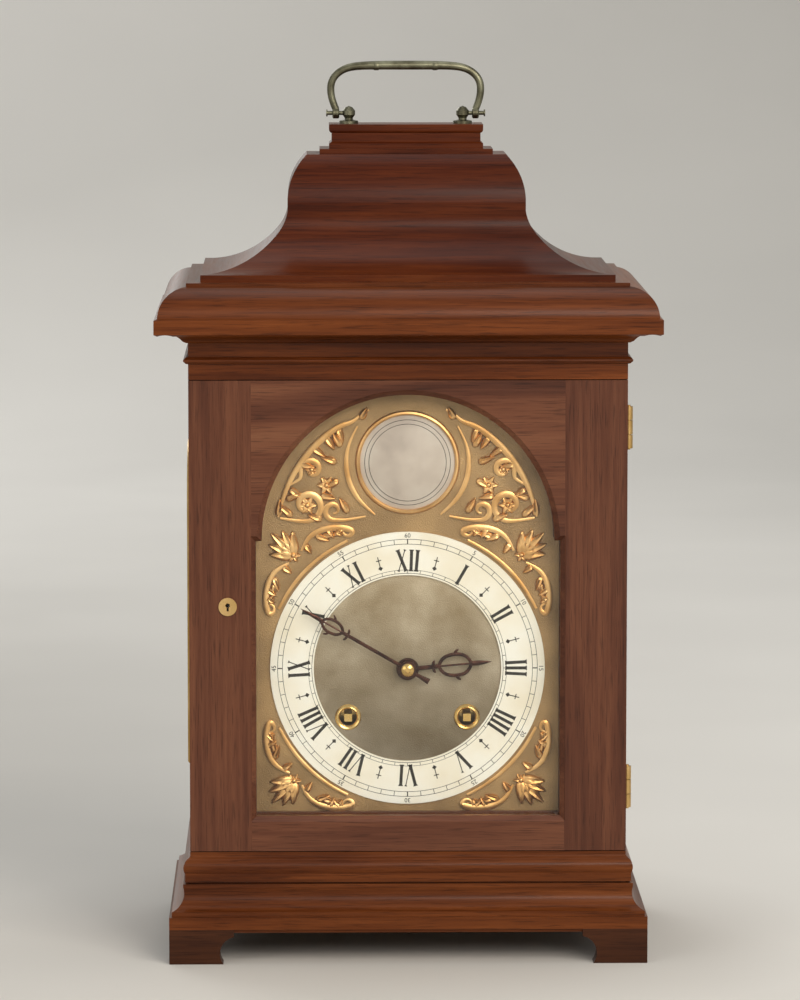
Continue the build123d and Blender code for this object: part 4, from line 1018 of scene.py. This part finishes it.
half_drawing = [
    [(6, -70), (24, -74)] + volute(30.0, -58.0, 15.5, 3.0, 270, 520, 20),
    [(46, -60), (58, -66)] + volute(59.0, -50.0, 13.0, 2.5, 300, 500, 18),
    [(8, -44), (18, -34)] + volute(36.0, -26.0, 15.0, 3.0, 190, -520, 20),
    [(66, -34), (68, -20)] + volute(56.0, -10.0, 13.0, 2.5, 10, 480, 18),
    [(10, -6), (22, 4)] + volute(36.0, 12.0, 14.5, 3.0, 210, 540, 20),
    [(68, 8), (66, 24)] + volute(56.0, 30.0, 12.0, 2.5, 20, 460, 18),
    [(26, 34), (30, 48)] + volute(44.0, 58.0, 15.0, 3.0, 180, -520, 20),
    [(8, 66), (16, 76)] + volute(26.0, 74.0, 8.0, 2.0, 120, -460, 14),
    [(60, 46), (70, 56), (66, 72), (56, 78), (46, 76)],
]
twigs = [(18, -66, 60, 9), (44, -70, 30, 9), (50, -36, 120, 9), (20, -20, 80, 10), (64, -28, 60, 8)]
twigs += [(48, -2, 80, 8), (22, 20, 120, 9), (50, 22, 40, 9), (66, 38, 100, 8), (30, 66, 50, 9)]
twigs += [(58, 70, 140, 9), (12, -54, 120, 8)]
drawing = []
for side in (-1, 1):
    for line in half_drawing:
        drawing.append(engraved([(side * x, z) for x, z in line]))
    for x, z, degrees, long in twigs:
        angle = math.radians(degrees)
        tip = (x + long * math.cos(angle), z + long * math.sin(angle))
        for bend in (-0.36, 0.36):
            belly = (x + long * 0.55 * math.cos(angle + bend), z + long * 0.55 * math.sin(angle + bend))
            drawing.append(engraved([(side * a, b) for a, b in ((x, z), belly, tip)]))
for inset, thick in ((3.0, 0.3), (4.6, 0.2)):
    wide, tall = PLATE_HALF_WIDE - inset, PLATE_HALF_TALL - inset
    corners = [(-wide, -tall), (wide, -tall), (wide, tall), (-wide, tall)]
    for start, end in zip(corners, corners[1:] + corners[:1]):
        middle = ((start[0] + end[0]) / 2, (start[1] + end[1]) / 2)
        drawing.append(scroll([start, middle, end], thick, ends=(1, 1), flat=0.3))
for part in drawing:
    move(part, 0, PLATE_BACK, PLATE_MIDDLE)
finish_piece(join(drawing), "back_plate_engraving", "case", wax_and_painted_shade)

# %% [markdown]
# Each pillar is held at the back by a taper pin through its end, and each pivot turns in
# a small oil sink. The arbors of the two trains are placed as the solids have them: from
# the winding square up, each one reach away from the last. A circle line is widened from
# the middle plane of the clock, so a sink to one side of it is drawn out to a dark oval.

# %% Pins and oil sinks
half_pillars = ((36.0, -80.0), (69.0, 9.0), (69.0, 83.0))
pillars = [(side * x, RING_Z + z) for x, z in half_pillars for side in (-1, 1)]
stud = turned(((0, 3.4), (1.5, 3.2), (1.9, 2.7), (1.9, 0), (0, 0)), (0, 25.0, 0), "back", steps=20)
pin = turned(((0, -4.6), (0.35, -4.6), (0.75, 4.6), (0, 4.6)), (0, 26.9, 0), "right", steps=12)
studs = copies(join([stud, pin]), [at(x, 0, z) for x, z in pillars])
finish_piece(smooth(join(studs), 35), "pillar_studs_and_pins", "case", steel_bright)

SIDE_STEP = 18.0
CENTRE_TO_THIRD, THIRD_TO_ESCAPE = 31.2, 23.4
strike = [(-WINDING[0], WINDING[1])]
for teeth, module, turn in ((60, 0.9, 115.0), (48, 0.7, 60.0), (42, 0.6, 120.0), (36, 0.5, 80.0)):
    reach = (teeth + 6) * module / 2
    angle = math.radians(turn)
    x, z = strike[-1]
    strike.append((x + reach * math.cos(angle), z + reach * math.sin(angle)))
third = (SIDE_STEP, RING_Z + math.sqrt(CENTRE_TO_THIRD ** 2 - SIDE_STEP ** 2))
escape = (0.0, third[1] + math.sqrt(THIRD_TO_ESCAPE ** 2 - SIDE_STEP ** 2))
pivots = [(0.0, RING_Z), third, escape, (-60.0, RING_Z + 55.0)] + strike[1:]
# Each oil sink is two thin black rings on the flat plate: painted shade of its hollow.
sinks = []
for x, z in pivots:
    for radius in (1.5, 2.3):
        sinks.append(circle_line(radius * MM, 0.18 * MM, mm(x, PLATE_BACK, z)))
finish_piece(join(sinks), "oil_sink_painted_shade", "case", wax_and_painted_shade)
print("pivots", len(pivots))

# %% [markdown]
# Wheels don't sit straight on their arbors: each is riveted to a turned brass collet. The
# barrels carry a ratchet on the front plate that sets up the spring.

# %% Collets and ratchets
COLLET = ((1.0, 2.2), (2.6, 2.2), (2.9, 1.7), (2.9, 0.4), (3.8, 0), (1.0, 0), (1.0, 2.2))
COLLETS = (
    ("third_wheel_collet", "third", third, -4.0),
    ("escape_wheel_collet", "escape", escape, 8.0),
    ("pin_wheel_collet", "strike_pins", strike[1], -24.0),
    ("pallet_wheel_collet", "strike_pallet", strike[2], -12.0),
    ("warning_wheel_collet", "strike_warning", strike[3], -2.0),
)
for name, body, (x, z), y in COLLETS:
    collet = smooth(turned(COLLET, (x, y, z), "front", steps=24), 35)
    finish_piece(collet, name, body, brass_bright)

RATCHET_CORNERS = 52
RATCHET_ROOT = 0.87
RATCHET_Y = -43.0


def ratchet():
    """A saw-toothed wheel with its cap and click: every other corner of a disc is drawn in."""
    clear()
    bpy.ops.mesh.primitive_cylinder_add(vertices=RATCHET_CORNERS, radius=9.6 * MM, depth=1.5 * MM,
                                        rotation=(QUARTER, 0, 0))
    wheel = settle(bpy.context.object)
    for vert in wheel.data.vertices:
        corner = round(math.atan2(vert.co.z, vert.co.x) * RATCHET_CORNERS / math.tau)
        if corner % 2 == 1:
            vert.co.x *= RATCHET_ROOT
            vert.co.z *= RATCHET_ROOT
    cap_outline = ((0, 1.6), (2.0, 1.6), (2.4, 1.2), (2.4, -1.4), (0, -1.4))
    cap = turned(cap_outline, (0, -0.4, 0), "front", steps=20)
    click = scroll([(11, 9), (9.5, 4), (9.2, 0)], 1.2, ends=(1.3, 0.5), flat=0.6)
    return join([wheel, cap, click])


ratchets = copies(ratchet(), [at(side * BARREL[0], RATCHET_Y, BARREL[1]) for side in (-1, 1)])
finish_piece(smooth(join(ratchets), 30), "barrel_ratchets_and_clicks", "case", steel_bright)

# %% [markdown]
# The fusee chain is a tiny riveted chain, like a bicycle's, that winds from the barrel to
# the cone. A link is a short plate with round ends, and it is repeated hundreds of times,
# so it has only a few faces. Its turns lie side by side round the barrel.

# %% The chains
LINK_STEP = 2.6
CHAIN_Y = 4.0
CHAIN_RADIUS, CHAIN_TURNS, TURN_STEP = 17.6, 6, 2.3
OFF_BARREL, OFF_FUSEE = 18.9, 19.7


def link(wide):
    """One link at the origin: a flat bar along X with its ends drawn in."""
    clear()
    bpy.ops.mesh.primitive_cylinder_add(vertices=6, radius=0.5, depth=1.0)
    obj = bpy.context.object
    for vert in obj.data.vertices:
        vert.co = (vert.co.x * 2.9 * MM, vert.co.z * wide * MM, vert.co.y * 1.25 * MM)
    return obj


def chain(spots):
    """Links at each place and direction, narrow and wide by turns."""
    turns = [at(*place) @ Matrix.Rotation(-math.atan2(way[1], way[0]), 4, "Y") for place, way in spots]
    return outward(join(copies(link(0.8), turns[::2]) + copies(link(1.5), turns[1::2])))


def wound_chain(x, z):
    """The turns on one barrel."""
    count = round(CHAIN_TURNS * math.tau * CHAIN_RADIUS / LINK_STEP)
    spots = []
    for n in range(count):
        angle = math.tau * CHAIN_TURNS * n / count
        out, up = math.cos(angle), math.sin(angle)
        y = CHAIN_Y - TURN_STEP * angle / math.tau
        spots.append(((x + CHAIN_RADIUS * out, y, z + CHAIN_RADIUS * up), (-up, out)))
    return chain(spots)


def chain_run(side):
    """The straight run from the barrel to the fusee, on their outer sides."""
    start = Vector((side * BARREL[0], BARREL[1]))
    end = Vector((side * WINDING[0], WINDING[1]))
    angle = math.atan2(end.y - start.y, end.x - start.x) - side * QUARTER
    normal = Vector((math.cos(angle), math.sin(angle)))
    run = end + normal * OFF_FUSEE - (start + normal * OFF_BARREL)
    count = round(run.length / LINK_STEP)
    spots = []
    for n in range(count):
        spot = start + normal * OFF_BARREL + run * (n + 0.5) / count
        spots.append(((spot.x, CHAIN_Y, spot.y), run))
    return chain(spots)


for side, name, body in ((1, "going_barrel_chain", "going_drum"), (-1, "strike_barrel_chain", "strike_drum")):
    finish_piece(wound_chain(side * BARREL[0], BARREL[1]), name, body, steel_bright)
runs = join([chain_run(1), chain_run(-1)])
finish_piece(runs, "fusee_chain_runs", "case", steel_bright, replaces=("fusee_chains",))

# %% [markdown]
# Slotted screws hold the cock that hangs the pendulum. A screw head is a low turned dome
# with a slot; the slot is cut with a boolean, once, and the screw is copied.

# %% Screws
def screw_head(radius):
    """A screw head facing back, its underside at the origin."""
    outline = ((0, 1.2), (radius * 0.7, 1.15), (radius * 0.95, 0.8), (radius, 0.4), (radius, -0.3), (0, -0.3))
    head = turned(outline, (0, 0, 0), "back", steps=24)
    clear()
    bpy.ops.mesh.primitive_cube_add(size=1)
    cutter = bpy.context.object
    cutter.scale = mm(radius * 3, 1.0, 0.7)
    cutter.location = mm(0, 1.1, 0)
    settle(cutter)
    use(head, "BOOLEAN", operation="DIFFERENCE", object=cutter, solver="EXACT")
    bpy.data.objects.remove(cutter)
    return head


head = screw_head(2.6)
screw_places = [at(side * 18.0, 43.0, 236.0) @ about_y(30 * side) for side in (-1, 1)]
screws = smooth(join(copies(head, screw_places)), 30)
finish_piece(screws, "back_cock_screws", "case", steel_blued)

# %% [markdown]
# ## Light and camera
# This glow is painted light, stronger to the left on the wall and to the right on the floor.
# One broad soft light from the upper right and one from the front, weaker ones from the
# left, from above and from behind for the movement, and a pale world. The paper glows a
# little where the camera sees it, because the photograph's background is nearly even.
# The camera looks slightly down, from about three metres, with a long lens.

# %% Lamps and world
def soft_light(name, place, look, size, power, tint):
    data = bpy.data.lights.new(name, "AREA")
    data.shape = "RECTANGLE"
    data.size, data.size_y = size
    data.energy = power
    data.color = colour(tint)[:3]
    lamp = bpy.data.objects.new(name, data)
    lamp.location = place
    lamp.rotation_euler = (Vector(look) - Vector(place)).to_track_quat("-Z", "Y").to_euler()
    bpy.context.scene.collection.objects.link(lamp)
    return lamp


soft_light("soft_key", (1.5, -2.2, 2.0), (0, 0, 0.25), (1.6, 1.6), 46.0, "fff6ea")
soft_light("soft_fill", (-2.0, -2.2, 1.2), (0, 0, 0.25), (1.6, 1.6), 12.0, "fff8f0")
soft_light("soft_front", (0.8, -3.3, 1.5), (0, 0, 0.2), (1.4, 1.0), 39.0, "fff8ee")
soft_light("soft_top", (0, 0.2, 2.4), (0, 0, 0.2), (1.6, 1.6), 10.0, "ffffff")
soft_light("soft_back", (-1.2, 2.4, 1.5), (0, 0, 0.25), (1.4, 1.4), 18.0, "ffffff")


def seen(mat):
    """One for what the camera sees straight, in a mirror or through glass, else nought."""
    rays = node(mat, "LightPath").outputs
    straight = math_node(mat, "MAXIMUM", rays["Is Camera Ray"], rays["Is Glossy Ray"])
    return math_node(mat, "MAXIMUM", straight, rays["Is Transmission Ray"])


def paper_painted_light(mat, place):
    """Painted light on the paper: more at the wall's left and the floor's right, none close round the clock.
    """
    x, y, _ = axes_of(mat, place)
    near = spread(mat, x, 0.02, 0.15, -0.3, 0.3)
    far = spread(mat, x, 0.31, 0.09, -1.0, 1.0)
    lift = node(mat, "Mix", {"Factor": spread(mat, y, 0.0, 1.0, 0.9, 2.9), "A": near, "B": far}).outputs[0]
    reach = node(mat, "VectorMath", {0: vector(mat, x, y)}, operation="LENGTH").outputs["Value"]
    lift = math_node(mat, "MULTIPLY", lift, spread(mat, reach, 0.0, 1.0, 0.1, 0.26))
    return math_node(mat, "MULTIPLY", seen(mat), lift)


world = bpy.data.worlds.new("pale_studio")
bpy.context.scene.world = world
world.use_nodes = True
world.node_tree.nodes.clear()
strength = spread(world, seen(world), 0.42, 0.85)
sky = node(world, "Background", {"Color": colour("d8d7d3"), "Strength": strength}).outputs[0]
node(world, "OutputWorld", {"Surface": sky})

paper = new_material("paper_backdrop_matt")
place = here(paper)
tint = ramp(paper, noise(paper, place, 3.0), ((0.3, "cbc9c4"), (0.7, "d2d0cb")))
matt = node(paper, "BsdfPrincipled", {"Base Color": tint, "Roughness": 0.9}).outputs[0]
painted_glow = node(paper, "Emission", {"Color": colour("fffdf8"), "Strength": paper_painted_light(paper, place)}).outputs[0]
both = node(paper, "AddShader", {0: matt, 1: painted_glow}).outputs[0]
node(paper, "OutputMaterial", {"Surface": both})
sweep.data.materials.append(paper)
print("lamps and paper ready")

# %% The camera
VIEW_SIZE = 0.5715
DISTANCE = 3.0
SENSOR = 24.0
LOOK = Vector((-0.0045, -0.07, 0.265))
RISE = math.radians(6.5)
TURN = math.radians(-1.0)
lens = bpy.data.cameras.new("photo_camera")
lens.sensor_fit = "VERTICAL"
lens.sensor_height = SENSOR
lens.lens = SENSOR * DISTANCE / VIEW_SIZE
camera = bpy.data.objects.new("photo_camera", lens)
back = Vector((math.sin(TURN) * math.cos(RISE), -math.cos(TURN) * math.cos(RISE), math.sin(RISE)))
camera.location = LOOK + back * DISTANCE
camera.rotation_euler = (-back).to_track_quat("-Z", "Y").to_euler()
bpy.context.scene.collection.objects.link(camera)
bpy.context.scene.camera = camera
bpy.context.scene.view_settings.view_transform = "Standard"
print("camera", [round(v, 3) for v in camera.location])
